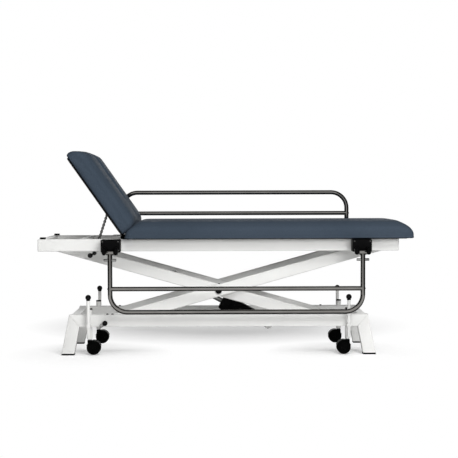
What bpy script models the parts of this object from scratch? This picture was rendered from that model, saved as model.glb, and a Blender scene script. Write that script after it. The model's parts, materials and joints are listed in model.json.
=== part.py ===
"""Electric scissor-lift examination table with a raising backrest and two flip-over side guards.

Metres, +Z up. The origin is on the floor under the middle of the table's length,
+X points to the foot end and -Y to the near side. Pieces are placed from the
scissor's centre pivot, under one empty that stands off the origin. Every moving
piece has its object origin on its joint axis.
"""
import math

import bmesh
import bpy
from mathutils import Matrix, Vector

PART_COLLECTION = "examination_table"
CUTTER_COLLECTION = "examination_table_cutters"

# Fits
GAP = 0.0003
RUNNING_GAP = 0.0003
THROUGH = 0.004
WELD_DISTANCE = 0.00001
FLAT_ANGLE = math.radians(0.5)
SHARP_ANGLE = math.radians(35)

# Facets of round pieces
ROUND_SIDES = 14
SMALL_SIDES = 10
WHEEL_SIDES = 22
BALL_RINGS = 7

# Base
BASE_HALF_LENGTH = 0.742
BASE_HALF_WIDTH = 0.219
BASE_TOP = 0.201
TUBE_DEPTH = 0.060
BASE_TUBE_WIDTH = 0.040
TUBE_WALL = 0.003
LEG_SPLAY = 0.039
LEG_WIDTH = 0.063
FOOT_PAD_HEIGHT = 0.008
EDGE_ROUND = 0.003
END_TUBE_INSET = 0.007

# Scissor
LOWER_PIVOT_Z = 0.171
UPPER_PIVOT_Z = 0.538
CENTRE_PIVOT_Z = 0.316
UPPER_PIVOT_INSET = 0.097
ARM_DEPTH = 0.058
ARM_WIDTH = 0.020
ARM_OVERHANG = 0.016
ARM_SIDE_GAP = 0.001
ARM_PAIR_GAP = 0.006
PIVOT_RADIUS = 0.010
PIVOT_HEAD_RADIUS = 0.016
PIVOT_HEAD_DEPTH = 0.0055
TIE_RADIUS = 0.015
TIE_FROM_CENTRE = 0.2387
ROLLER_RADIUS = 0.018
ROLLER_SIDE_GAP = 0.0025
AXLE_RADIUS = 0.009
TRACK_THICKNESS = 0.006
TRACK_MARGIN = 0.012
LIFT_LOW = math.radians(-7.0)
LIFT_HIGH = math.radians(10.0)

# Lift motor
MOTOR_PIVOT_X = 0.253
MOTOR_PIVOT_Z = 0.120
MOTOR_PIN_RADIUS = 0.008
MOTOR_EYE_RADIUS = 0.016
MOTOR_EYE_WIDTH = 0.036
MOTOR_LUG_THICKNESS = 0.008
MOTOR_HOUSING_START = 0.086
MOTOR_HOUSING_END = 0.270
MOTOR_HOUSING_DEPTH = 0.080
MOTOR_HOUSING_WIDTH = 0.070
MOTOR_WALL = 0.007
MOTOR_SIDE_WALL = 0.013
GEARBOX_DEPTH = 0.028
GEARBOX_WIDTH = 0.030
MOUNT_TUBE_DEPTH = 0.030
MOUNT_TUBE_WIDTH = 0.040
MOUNT_TUBE_OFFSET = 0.037
ROD_RADIUS = 0.0125
ROD_END_FROM_MOTOR_PIVOT = 0.160
ROD_EYE_RADIUS = 0.025
ROD_EYE_WIDTH = 0.040

# Top frame
FRAME_HALF_LENGTH = 0.890
FRAME_HALF_WIDTH = 0.247
FRAME_BOTTOM = 0.518
FRAME_TUBE_WIDTH = 0.030
BUMPER_LENGTH = 0.027
BUMPER_WIDTH = 0.025
BUMPER_CLEARANCE = 0.001
BUMPER_FROM_END = 0.024

# Backrest
HINGE_X = -0.468
HINGE_RADIUS = 0.007
HINGE_LENGTH = 0.486
SADDLE_LENGTH = 0.020
SADDLE_WIDTH = 0.022
SADDLE_HALF_HEIGHT = 0.0085
BACKREST_ANGLE = math.radians(55.0)
BACKREST_LENGTH = 0.482
BACKREST_START = 0.014
BACKREST_END_LEAN = 0.016
EAR_THICKNESS = 0.010
EAR_RADIUS = 0.0115
EAR_Y = 0.195
FACE_SLOT_WIDTH = 0.080
FACE_SLOT_LENGTH = 0.280

# Cushions
PAD_WIDTH = 0.620
PAD_THICKNESS = 0.094
PAD_EDGE_DROP = 0.020
PAD_SIDE_DRAW = 0.006
PAD_CUTS = ((-0.92, -0.6, -0.2, 0.2, 0.6, 0.92), (-0.85, -0.45, 0.0, 0.45, 0.85), (-0.72, 0.0, 0.6))
PAD_CROWN_POWER = 4
PAD_END_POWER = 8
PAD_END_SHARE = 0.6
PAD_RIM_SHARE = 0.999
PAD_LIFT = 0.0015
BOARD_THICKNESS = 0.015
BOARD_MARGIN = 0.028
SEAT_START = -0.452
SEAT_END = 0.950
SEAT_BEVEL = 0.080
SEAT_NOSE = 0.030

# Backrest lock
LOCK_BACK = 0.158
LOCK_DOWN = 0.054
LOCK_ROD_RADIUS = 0.007
LOCK_ROD_LENGTH = 0.230
LOCK_PIN_RADIUS = 0.005
LOCK_EYE_RADIUS = 0.010
EYE_CLEARANCE = 0.0015
LOCK_BODY_SIZE = (0.044, 0.050, 0.044)
LOCK_TRUNNION_RADIUS = 0.007
LOCK_LUG_THICKNESS = 0.006
BRIDGE_WIDTH = 0.025
BRIDGE_DEPTH = 0.022
BRIDGE_FROM_LOCK = 0.0515
ROD_LUG_INNER = 0.011
ROD_LUG_THICKNESS = 0.006
ROD_LUG_DROP = 0.014
ROD_LUG_LENGTH = 0.030

# Side guards
GUARD_Y = 0.335
GUARD_PIVOT_Z = 0.516
GUARD_HEAD_X = -0.526
GUARD_FOOT_X = 0.700
GUARD_TUBE_RADIUS = 0.0115
GUARD_BEND_RADIUS = 0.085
GUARD_END_BAR = 0.289
GUARD_MID_BAR = 0.176
GUARD_SLEEVE_RADIUS = 0.0115
GUARD_SLEEVE_LENGTH = 0.035
GUARD_PIN_RADIUS = 0.004
GUARD_STOP_RADIUS = 0.0045
GUARD_STOP_LENGTH = 0.057
GUARD_STOP_FROM_PIVOT = 0.036
BRACKET_WIDTH = 0.094
BRACKET_OUTER_Y = 0.319
GUARD_EAR_RADIUS = 0.0125
GUARD_EAR_WIDTH = 0.021

# Casters
CASTER_INSET = 0.100
SLEEVE_RADIUS = 0.0125
SLEEVE_BOTTOM = 0.077
SLEEVE_TOP = 0.226
STEM_RADIUS = 0.008
STEM_TOP = 0.205
STEM_SPIGOT_RADIUS = 0.0045
STEM_SPIGOT_LENGTH = 0.006
FORK_BOSS_RADIUS = 0.012
FORK_BOSS_TOP = 0.074
HOOD_RADIUS = 0.038
HOOD_WALL = 0.002
HOOD_WIDTH = 0.046
HOOD_WEB = 0.006
HOOD_SKIRT = 0.010
WHEEL_RADIUS = 0.0345
WHEEL_CENTRE_Z = 0.0365
WHEEL_TRAIL = 0.020
WHEEL_AXLE_RADIUS = 0.005
LEVER_PIVOT_Z = 0.150
LEVER_OUT = 0.036
LEVER_RADIUS = 0.0085
LEVER_BOTTOM = 0.088
LEVER_BALL_Z = 0.291
LEVER_BALL_RADIUS = 0.0140
LEVER_BOSS_RADIUS = 0.0105
LEVER_PIN_RADIUS = 0.006
LEVER_PIN_LENGTH = 0.005

# Small hand levers
BRAKE_FROM_CASTER = 0.062
BRAKE_PIVOT_Z = 0.150
BRAKE_BALL_OFFSET = (0.0175, 0.0117)
BRAKE_BALL_RADIUS = 0.013
BRAKE_BOSS_RADIUS = 0.009
BRAKE_BOSS_LENGTH = 0.028
BRAKE_ROD_RADIUS = 0.004
RELEASE_PIVOT_X = -0.612
RELEASE_HUB_RADIUS = 0.0092
RELEASE_HUB_LENGTH = 0.018
RELEASE_BALL_OFFSET = (-0.0215, -0.0115)
RELEASE_BALL_RADIUS = 0.0125
RELEASE_PIN_RADIUS = 0.004
HANGER_THICKNESS = 0.004
HANGER_WIDTH = 0.024

# Derived places
LENGTH_MIDDLE = (SEAT_END - FRAME_HALF_LENGTH) / 2
FRAME_TOP = FRAME_BOTTOM + TUBE_DEPTH
BASE_INNER_Y = BASE_HALF_WIDTH - BASE_TUBE_WIDTH
BASE_TUBE_Y = BASE_HALF_WIDTH - BASE_TUBE_WIDTH / 2
FRAME_INNER_Y = FRAME_HALF_WIDTH - FRAME_TUBE_WIDTH
FRAME_TUBE_Y = FRAME_HALF_WIDTH - FRAME_TUBE_WIDTH / 2
OUTER_ARM_Y = BASE_INNER_Y - ARM_SIDE_GAP - ARM_WIDTH / 2
INNER_ARM_Y = OUTER_ARM_Y - ARM_WIDTH - ARM_PAIR_GAP
CASTER_X = BASE_HALF_LENGTH - CASTER_INSET
BRAKE_PIVOT_X = BRAKE_FROM_CASTER - CASTER_X
UPPER_PIVOT_X = FRAME_HALF_LENGTH - UPPER_PIVOT_INSET
ARM_ANGLE = math.atan2(UPPER_PIVOT_Z - CENTRE_PIVOT_Z, UPPER_PIVOT_X)
LOWER_ARM = (CENTRE_PIVOT_Z - LOWER_PIVOT_Z) / math.sin(ARM_ANGLE)
UPPER_ARM = (UPPER_PIVOT_Z - CENTRE_PIVOT_Z) / math.sin(ARM_ANGLE)
LOWER_PIVOT_X = LOWER_ARM * math.cos(ARM_ANGLE)
HINGE_Z = FRAME_TOP + GAP + SADDLE_HALF_HEIGHT
LOCK_X = HINGE_X - LOCK_BACK
LOCK_Z = HINGE_Z - LOCK_DOWN
LOCK_ARM = math.hypot(LOCK_BACK, LOCK_DOWN)
ROD_PIVOT_X = -TIE_FROM_CENTRE * math.cos(ARM_ANGLE)
ROD_PIVOT_Z = CENTRE_PIVOT_Z + TIE_FROM_CENTRE * math.sin(ARM_ANGLE)
ROD_PIN_X = HINGE_X - LOCK_ARM * math.cos(BACKREST_ANGLE)
ROD_PIN_Z = HINGE_Z + LOCK_ARM * math.sin(BACKREST_ANGLE)
LEG_LEAN = LEG_SPLAY / (BASE_TOP - FOOT_PAD_HEIGHT)

ENDS = (("head", -1), ("foot", 1))
SIDES = (("near", -1), ("far", 1))
ALONG_X = Matrix.Rotation(math.pi / 2, 4, "Y")
ALONG_Y = Matrix.Rotation(math.pi / 2, 4, "X")
ALONG_Z = Matrix.Identity(4)


def clear_scene():
    for item in list(bpy.data.objects):
        bpy.data.objects.remove(item, do_unlink=True)


def scene_collection(name):
    group = bpy.data.collections.new(name)
    bpy.context.scene.collection.children.link(group)
    return group


def paint(name, colour, roughness, metallic):
    material = bpy.data.materials.new(name)
    material.use_nodes = True
    shader = material.node_tree.nodes["Principled BSDF"]
    shader.inputs["Base Color"].default_value = (*colour, 1.0)
    shader.inputs["Roughness"].default_value = roughness
    shader.inputs["Metallic"].default_value = metallic
    return material


def new_object(name, mesh):
    item = bpy.data.objects.new(name, mesh)
    parts.objects.link(item)
    return item


def shade(mesh):
    mesh.shade_smooth()
    mesh.set_sharp_from_angle(angle=SHARP_ANGLE)


def mesh_object(name, bm):
    mesh = bpy.data.meshes.new(name)
    bmesh.ops.recalc_face_normals(bm, faces=bm.faces)
    bm.to_mesh(mesh)
    bm.free()
    shade(mesh)
    return new_object(name, mesh)


def block(name, size, centre=(0, 0, 0), edge=0.0):
    bm = bmesh.new()
    bmesh.ops.create_cube(bm, size=1.0, matrix=Matrix.Translation(centre) @ Matrix.Diagonal((*size, 1.0)))
    item = mesh_object(name, bm)
    if edge:
        rounding = item.modifiers.new("rounded_edges", "BEVEL")
        rounding.width = edge
        rounding.segments = 1
        rounding.limit_method = "ANGLE"
    return item


def rod(name, radius, length, centre=(0, 0, 0), along=ALONG_Z, sides=ROUND_SIDES):
    bm = bmesh.new()
    bmesh.ops.create_cone(bm, cap_ends=True, segments=sides, radius1=radius, radius2=radius,
                          depth=length, matrix=Matrix.Translation(centre) @ along)
    return mesh_object(name, bm)


def ball(name, radius, centre):
    bm = bmesh.new()
    bmesh.ops.create_uvsphere(bm, u_segments=SMALL_SIDES, v_segments=BALL_RINGS, radius=radius,
                              matrix=Matrix.Translation(centre))
    return mesh_object(name, bm)


def turn_to(direction):
    """Rotation that takes +Z to the given direction."""
    return Vector((0, 0, 1)).rotation_difference(Vector(direction)).to_matrix().to_4x4()


def rod_between(name, start, end, radius, sides=SMALL_SIDES):
    start = Vector(start)
    end = Vector(end)
    span = end - start
    return rod(name, radius, span.length, (start + end) / 2, turn_to(span), sides)


def curve_to_mesh(item):
    """Replace a curve object by a welded mesh object of the same name."""
    graph = bpy.context.evaluated_depsgraph_get()
    mesh = bpy.data.meshes.new_from_object(item.evaluated_get(graph))
    place = item.matrix_world.copy()
    name = item.name
    curve = item.data
    bpy.data.objects.remove(item, do_unlink=True)
    bpy.data.curves.remove(curve)
    bm = bmesh.new()
    bm.from_mesh(mesh)
    bpy.data.meshes.remove(mesh)
    bmesh.ops.remove_doubles(bm, verts=bm.verts, dist=WELD_DISTANCE)
    bmesh.ops.dissolve_limit(bm, angle_limit=FLAT_ANGLE, verts=bm.verts, edges=bm.edges)
    bm.transform(place)
    return mesh_object(name, bm)


def plate(name, outline, thickness, centre_y=0.0):
    """Flat plate from an outline in X and Z, centred on centre_y."""
    curve = bpy.data.curves.new(name, "CURVE")
    curve.dimensions = "2D"
    curve.fill_mode = "BOTH"
    curve.extrude = thickness / 2
    spline = curve.splines.new("POLY")
    spline.points.add(len(outline) - 1)
    for point, (x, z) in zip(spline.points, outline):
        point.co = (x, z, 0, 1)
    spline.use_cyclic_u = True
    item = new_object(name, curve)
    item.matrix_world = Matrix.Translation((0, centre_y, 0)) @ ALONG_Y
    bpy.context.view_layer.update()
    return curve_to_mesh(item)


def bent_tube(name, points, radius):
    curve = bpy.data.curves.new(name, "CURVE")
    curve.dimensions = "3D"
    curve.bevel_depth = radius
    curve.bevel_resolution = 3
    curve.use_fill_caps = True
    spline = curve.splines.new("POLY")
    spline.points.add(len(points) - 1)
    for point, place in zip(spline.points, points):
        point.co = (*place, 1)
    item = new_object(name, curve)
    bpy.context.view_layer.update()
    return curve_to_mesh(item)


def as_tool(part, tool, operation):
    parts.objects.unlink(tool)
    cutters.objects.link(tool)
    tool.hide_render = True
    tool.display_type = "WIRE"
    tool.parent = part
    step = part.modifiers.new(tool.name, "BOOLEAN")
    step.operation = operation
    step.solver = "EXACT"
    step.object = tool


def join(part, *tools):
    for tool in tools:
        as_tool(part, tool, "UNION")
    return part


def cut(part, *tools):
    for tool in tools:
        as_tool(part, tool, "DIFFERENCE")
    return part


def finish(part, material, location=(0, 0, 0), turn=0.0):
    part.parent = carrier
    part.location = location
    part.rotation_euler = (0, turn, 0)
    part.data.materials.append(material)
    return part


def hollow_out(part, size, open_axis, centre=(0, 0, 0)):
    """Cut the inside of a rectangular tube, open at both ends along one axis."""
    inside = [side - 2 * TUBE_WALL for side in size]
    inside[open_axis] = size[open_axis] + 2 * THROUGH
    return cut(part, block(part.name + "_inside", inside, centre))


def rounded_corner(corner, before, after, radius, steps=7):
    """Points of an arc that rounds one right-angled corner of a path."""
    corner = Vector(corner)
    to_start = (Vector(before) - corner).normalized()
    to_end = (Vector(after) - corner).normalized()
    centre = corner + (to_start + to_end) * radius
    points = []
    for step in range(steps + 1):
        angle = math.pi / 2 * step / steps
        points.append(centre - to_end * radius * math.cos(angle) - to_start * radius * math.sin(angle))
    return points


def side_outline(inset, bottom):
    """Base side seen from the side: a rail with a splayed leg at each end."""
    slant = inset * math.hypot(1, LEG_LEAN)
    top = BASE_TOP - inset
    under = BASE_TOP - TUBE_DEPTH + inset

    def outer(z):
        return BASE_HALF_LENGTH + LEG_LEAN * (BASE_TOP - z) - slant

    def inner(z):
        return BASE_HALF_LENGTH + LEG_LEAN * (BASE_TOP - z) - LEG_WIDTH + slant

    half = [(inner(under), under), (inner(bottom), bottom), (outer(bottom), bottom), (outer(top), top)]
    return half + [(-x, z) for x, z in reversed(half)]


def roller_run(reach):
    """Travel of a roller along its track between the lift's limits."""
    ends = [reach * (math.cos(ARM_ANGLE + swing) - math.cos(ARM_ANGLE)) for swing in (LIFT_LOW, LIFT_HIGH)]
    return min(ends) - ROLLER_RADIUS - TRACK_MARGIN, max(ends) + ROLLER_RADIUS + TRACK_MARGIN


def base_side(label, side):
    name = "base_side_" + label
    part = plate(name, side_outline(0, FOOT_PAD_HEIGHT), BASE_TUBE_WIDTH)
    rounding = part.modifiers.new("rounded_edges", "BEVEL")
    rounding.width = EDGE_ROUND
    rounding.segments = 1
    rounding.limit_method = "ANGLE"
    hollow = plate(name + "_hollow", side_outline(TUBE_WALL, FOOT_PAD_HEIGHT - THROUGH),
                   BASE_TUBE_WIDTH - 2 * TUBE_WALL)
    cut(part, hollow)
    sleeve_length = SLEEVE_TOP - SLEEVE_BOTTOM
    sleeve_middle = (SLEEVE_TOP + SLEEVE_BOTTOM) / 2
    for end, way in ENDS:
        at = (way * CASTER_X, 0, sleeve_middle)
        join(part, rod(name + "_sleeve_" + end, SLEEVE_RADIUS, sleeve_length, at))
    for end, way in ENDS:
        at = (way * CASTER_X, 0, sleeve_middle)
        cut(part, rod(name + "_bore_" + end, STEM_RADIUS + RUNNING_GAP, sleeve_length + 2 * THROUGH, at))
        pin_at = (way * CASTER_X, side * BASE_TUBE_WIDTH / 2, LEVER_PIVOT_Z)
        cut(part, rod(name + "_lever_hole_" + end, LEVER_PIN_RADIUS + RUNNING_GAP,
                      2 * (LEVER_PIN_LENGTH + GAP), pin_at, ALONG_Y))
    low, high = roller_run(2 * LOWER_ARM)
    track_top = LOWER_PIVOT_Z - ROLLER_RADIUS - GAP
    track_width = BASE_INNER_Y - (INNER_ARM_Y + ARM_WIDTH / 2 + ROLLER_SIDE_GAP)
    join(part, block(name + "_track", (high - low, track_width + TUBE_WALL / 2, TRACK_THICKNESS),
                     (LOWER_PIVOT_X + (low + high) / 2,
                      -side * (BASE_TUBE_WIDTH / 2 + track_width / 2 - TUBE_WALL / 4),
                      track_top - TRACK_THICKNESS / 2)))
    if label == "near":
        cut(part, rod(name + "_brake_hole", BRAKE_ROD_RADIUS + RUNNING_GAP, 2 * (LEVER_PIN_LENGTH + GAP),
                      (BRAKE_PIVOT_X, side * BASE_TUBE_WIDTH / 2, BRAKE_PIVOT_Z), ALONG_Y))
    return finish(part, white_paint, (0, side * BASE_TUBE_Y, 0))


def base_cross(label, way):
    size = (BASE_TUBE_WIDTH, 2 * (BASE_INNER_Y - GAP), TUBE_DEPTH)
    part = block("base_cross_" + label, size, edge=EDGE_ROUND)
    hollow_out(part, size, 1)
    reach = BASE_HALF_LENGTH - END_TUBE_INSET - BASE_TUBE_WIDTH / 2
    return finish(part, white_paint, (way * reach, 0, BASE_TOP - TUBE_DEPTH / 2))


def motor_mount():
    """Cross tube of the base with two lugs and the pin that holds the motor."""
    tube_z = BASE_TOP - TUBE_DEPTH - TUBE_WALL + MOUNT_TUBE_DEPTH / 2 - TUBE_WALL
    size = (MOUNT_TUBE_WIDTH, 2 * (BASE_INNER_Y - GAP), MOUNT_TUBE_DEPTH)
    part = block("motor_mount", size, edge=EDGE_ROUND)
    drop = MOTOR_PIVOT_Z - tube_z
    lug_y = MOTOR_EYE_WIDTH / 2 + GAP + MOTOR_LUG_THICKNESS / 2
    cheek = MOTOR_EYE_RADIUS - TUBE_WALL
    outline = [(0, MOUNT_TUBE_DEPTH / 2 - TUBE_WALL), (0, -MOUNT_TUBE_DEPTH / 2),
               (-MOUNT_TUBE_OFFSET + cheek, drop - cheek), (-MOUNT_TUBE_OFFSET - cheek, drop - cheek),
               (-MOUNT_TUBE_OFFSET - cheek, drop + cheek),
               (-MOUNT_TUBE_WIDTH / 2, MOUNT_TUBE_DEPTH / 2 - TUBE_WALL)]
    for label, side in SIDES:
        join(part, plate("motor_lug_" + label, outline, MOTOR_LUG_THICKNESS, side * lug_y))
    pin_length = 2 * (lug_y + MOTOR_LUG_THICKNESS / 2 + TUBE_WALL)
    join(part, rod("motor_pin", MOTOR_PIN_RADIUS, pin_length, (-MOUNT_TUBE_OFFSET, 0, drop), ALONG_Y))
    hollow_out(part, size, 1)
    return finish(part, white_paint, (MOTOR_PIVOT_X + MOUNT_TUBE_OFFSET, 0, tube_z))


def foot_pad(end, way, label, side):
    foot_x = BASE_HALF_LENGTH + LEG_SPLAY - LEG_WIDTH / 2
    height = FOOT_PAD_HEIGHT - GAP
    part = block("foot_pad_{}_{}".format(end, label), (LEG_WIDTH, BASE_TUBE_WIDTH, height),
                 (0, 0, height / 2), edge=EDGE_ROUND / 3)
    return finish(part, black_rubber, (way * foot_x, side * BASE_TUBE_Y, 0))


def caster_stem(end, way, label, side):
    name = "caster_stem_{}_{}".format(end, label)
    bottom = FORK_BOSS_TOP + GAP
    length = STEM_TOP - bottom
    part = rod(name, STEM_RADIUS, length, (0, 0, length / 2))
    join(part, rod(name + "_spigot", STEM_SPIGOT_RADIUS, 2 * STEM_SPIGOT_LENGTH))
    return finish(part, bare_steel, (way * CASTER_X, side * BASE_TUBE_Y, bottom))


def caster_fork(end, way, label, side):
    """Hooded caster body: a centre web under a half-round hood, with a boss for the stem."""
    name = "caster_fork_{}_{}".format(end, label)
    hub = (-way * WHEEL_TRAIL, 0, WHEEL_CENTRE_Z - FORK_BOSS_TOP)
    recess = (HOOD_WIDTH - HOOD_WEB) / 2
    part = rod(name, HOOD_RADIUS, HOOD_WIDTH, hub, ALONG_Y, WHEEL_SIDES)
    boss_length = FORK_BOSS_TOP - WHEEL_CENTRE_Z - HOOD_SKIRT
    join(part, rod(name + "_boss", FORK_BOSS_RADIUS, boss_length, (0, 0, -boss_length / 2)))
    for face in (-1, 1):
        centre = (hub[0], face * (HOOD_WEB / 2 + recess / 2 + THROUGH / 2), hub[2])
        cut(part, rod("{}_wheel_room_{}".format(name, face), HOOD_RADIUS - HOOD_WALL, recess + THROUGH,
                      centre, ALONG_Y, WHEEL_SIDES))
    cut(part, block(name + "_open_side", (2 * HOOD_RADIUS + THROUGH, HOOD_WIDTH + 3 * THROUGH, HOOD_RADIUS),
                    (hub[0], 0, hub[2] - HOOD_SKIRT - HOOD_RADIUS / 2)))
    cut(part, rod(name + "_spigot_bore", STEM_SPIGOT_RADIUS + RUNNING_GAP,
                  2 * (STEM_SPIGOT_LENGTH + GAP)))
    cut(part, rod(name + "_axle_hole", WHEEL_AXLE_RADIUS + RUNNING_GAP, HOOD_WIDTH, hub, ALONG_Y))
    return finish(part, black_plastic, (way * CASTER_X, side * BASE_TUBE_Y, FORK_BOSS_TOP))


def caster_wheel(end, way, label, side):
    """Twin wheel: two discs on one axle."""
    name = "caster_wheel_{}_{}".format(end, label)
    disc_width = (HOOD_WIDTH - HOOD_WEB) / 2 - GAP
    part = rod(name, WHEEL_AXLE_RADIUS, HOOD_WIDTH - 2 * GAP, along=ALONG_Y)
    for face in (-1, 1):
        disc = rod("{}_disc_{}".format(name, face), WHEEL_RADIUS, disc_width,
                   (0, face * (HOOD_WEB / 2 + GAP + disc_width / 2), 0), ALONG_Y, WHEEL_SIDES)
        join(part, disc)
    at = (way * (CASTER_X - WHEEL_TRAIL), side * BASE_TUBE_Y, WHEEL_CENTRE_Z)
    return finish(part, black_rubber, at)


def caster_lever(end, way, label, side):
    name = "caster_lever_{}_{}".format(end, label)
    low = LEVER_BOTTOM - LEVER_PIVOT_Z
    high = LEVER_BALL_Z - LEVER_PIVOT_Z
    out = side * LEVER_OUT
    part = rod(name, LEVER_RADIUS, high - low, (0, out, (high + low) / 2))
    boss_length = LEVER_OUT + LEVER_RADIUS
    join(part, rod(name + "_boss", LEVER_BOSS_RADIUS, boss_length, (0, side * boss_length / 2, 0), ALONG_Y))
    join(part, rod(name + "_pin", LEVER_PIN_RADIUS, 2 * LEVER_PIN_LENGTH, along=ALONG_Y))
    join(part, ball(name + "_ball", LEVER_BALL_RADIUS, (0, out, high)))
    return finish(part, white_paint, (way * CASTER_X, side * (BASE_HALF_WIDTH + GAP), LEVER_PIVOT_Z))


def brake_lever():
    part = rod("brake_lever", BRAKE_BOSS_RADIUS, BRAKE_BOSS_LENGTH, (0, -BRAKE_BOSS_LENGTH / 2, 0), ALONG_Y)
    ball_y = -(BRAKE_BOSS_LENGTH - BRAKE_BOSS_RADIUS)
    end = (BRAKE_BALL_OFFSET[0], ball_y, BRAKE_BALL_OFFSET[1])
    join(part, rod("brake_lever_pin", BRAKE_ROD_RADIUS, 2 * LEVER_PIN_LENGTH, along=ALONG_Y))
    join(part, rod_between("brake_lever_rod", (0, ball_y, 0), end, BRAKE_ROD_RADIUS))
    join(part, ball("brake_lever_ball", BRAKE_BALL_RADIUS, end))
    return finish(part, black_plastic, (BRAKE_PIVOT_X, -BASE_HALF_WIDTH - GAP, BRAKE_PIVOT_Z))


def scissor_arm(name, arm_y, rise):
    """One scissor arm about the centre pivot; rise is +1 for the arms that climb to the foot end."""
    lower_end = -rise * LOWER_ARM
    upper_end = rise * UPPER_ARM
    length = LOWER_ARM + UPPER_ARM + 2 * ARM_OVERHANG
    middle = (lower_end + upper_end) / 2
    size = (length, ARM_WIDTH, ARM_DEPTH)
    part = block(name, size, (middle, 0, 0), edge=EDGE_ROUND)
    lower_radius = PIVOT_RADIUS if rise > 0 else AXLE_RADIUS
    upper_radius = AXLE_RADIUS if rise > 0 else PIVOT_RADIUS
    for place, radius in ((lower_end, lower_radius), (0, PIVOT_RADIUS), (upper_end, upper_radius)):
        cut(part, rod("{}_hole_{:.0f}".format(name, place * 1000), radius + RUNNING_GAP,
                      ARM_WIDTH + 2 * THROUGH, (place, 0, 0), ALONG_Y))
    hollow_out(part, size, 0, (middle, 0, 0))
    return finish(part, white_paint, (0, arm_y, CENTRE_PIVOT_Z), -rise * ARM_ANGLE)


def cross_shaft(name, radius, half_length, place, material):
    part = rod(name, radius, 2 * half_length, along=ALONG_Y)
    return finish(part, material, (place[0], 0, place[1]))


def centre_pin(label, side):
    """Headed pin through one outer and one inner arm, clear of the motor between the arm pairs."""
    name = "centre_pin_" + label
    inner = INNER_ARM_Y - ARM_WIDTH / 2 - GAP
    outer = OUTER_ARM_Y + ARM_WIDTH / 2 + GAP
    length = outer + PIVOT_HEAD_DEPTH / 2 - inner
    part = rod(name, PIVOT_RADIUS, length, along=ALONG_Y)
    join(part, rod(name + "_head", PIVOT_HEAD_RADIUS, PIVOT_HEAD_DEPTH,
                   (0, side * (length / 2), 0), ALONG_Y))
    return finish(part, black_plastic, (0, side * (inner + length / 2), CENTRE_PIVOT_Z))


def wheelset(name, arm_y, rail_y, place):
    """Axle through a pair of arms with a roller at each end."""
    inner = arm_y + ARM_WIDTH / 2 + ROLLER_SIDE_GAP
    outer = rail_y - ROLLER_SIDE_GAP
    part = rod(name, AXLE_RADIUS, 2 * outer, along=ALONG_Y)
    for label, side in SIDES:
        join(part, rod("{}_roller_{}".format(name, label), ROLLER_RADIUS, outer - inner,
                       (0, side * (inner + outer) / 2, 0), ALONG_Y, WHEEL_SIDES))
    return finish(part, bare_steel, (place[0], 0, place[1]))


def motor_turn():
    return math.atan2(MOTOR_PIVOT_Z - ROD_PIVOT_Z, ROD_PIVOT_X - MOTOR_PIVOT_X)


def lift_motor():
    """Motor housing; local +X runs from the rear pivot to the rod's pivot."""
    length = MOTOR_HOUSING_END - MOTOR_HOUSING_START
    middle = (MOTOR_HOUSING_END + MOTOR_HOUSING_START) / 2
    part = block("lift_motor", (length, MOTOR_HOUSING_WIDTH, MOTOR_HOUSING_DEPTH), (middle, 0, 0),
                 edge=MOTOR_WALL)
    gearbox = (MOTOR_HOUSING_START + MOTOR_WALL, GEARBOX_WIDTH, GEARBOX_DEPTH)
    join(part, block("lift_motor_gearbox", gearbox, (gearbox[0] / 2, 0, 0)))
    join(part, rod("lift_motor_eye", MOTOR_EYE_RADIUS, MOTOR_EYE_WIDTH, along=ALONG_Y))
    cavity = (length, MOTOR_HOUSING_WIDTH - 2 * MOTOR_SIDE_WALL, MOTOR_HOUSING_DEPTH - 2 * MOTOR_WALL)
    cut(part, block("lift_motor_cavity", cavity, (middle + 2 * MOTOR_WALL, 0, 0)))
    cut(part, rod("lift_motor_eye_hole", MOTOR_PIN_RADIUS + RUNNING_GAP, MOTOR_EYE_WIDTH + THROUGH,
                  along=ALONG_Y))
    return finish(part, black_plastic, (MOTOR_PIVOT_X, 0, MOTOR_PIVOT_Z), motor_turn())


def lift_rod():
    pivot_distance = math.hypot(MOTOR_PIVOT_X - ROD_PIVOT_X, MOTOR_PIVOT_Z - ROD_PIVOT_Z)
    reach = pivot_distance - ROD_END_FROM_MOTOR_PIVOT
    part = rod("lift_rod", ROD_RADIUS, reach, (-reach / 2, 0, 0), ALONG_X)
    join(part, rod("lift_rod_eye", ROD_EYE_RADIUS, ROD_EYE_WIDTH, along=ALONG_Y))
    cut(part, rod("lift_rod_eye_hole", TIE_RADIUS + RUNNING_GAP, ROD_EYE_WIDTH + THROUGH, along=ALONG_Y))
    return finish(part, bare_steel, (ROD_PIVOT_X, 0, ROD_PIVOT_Z), motor_turn())


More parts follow.
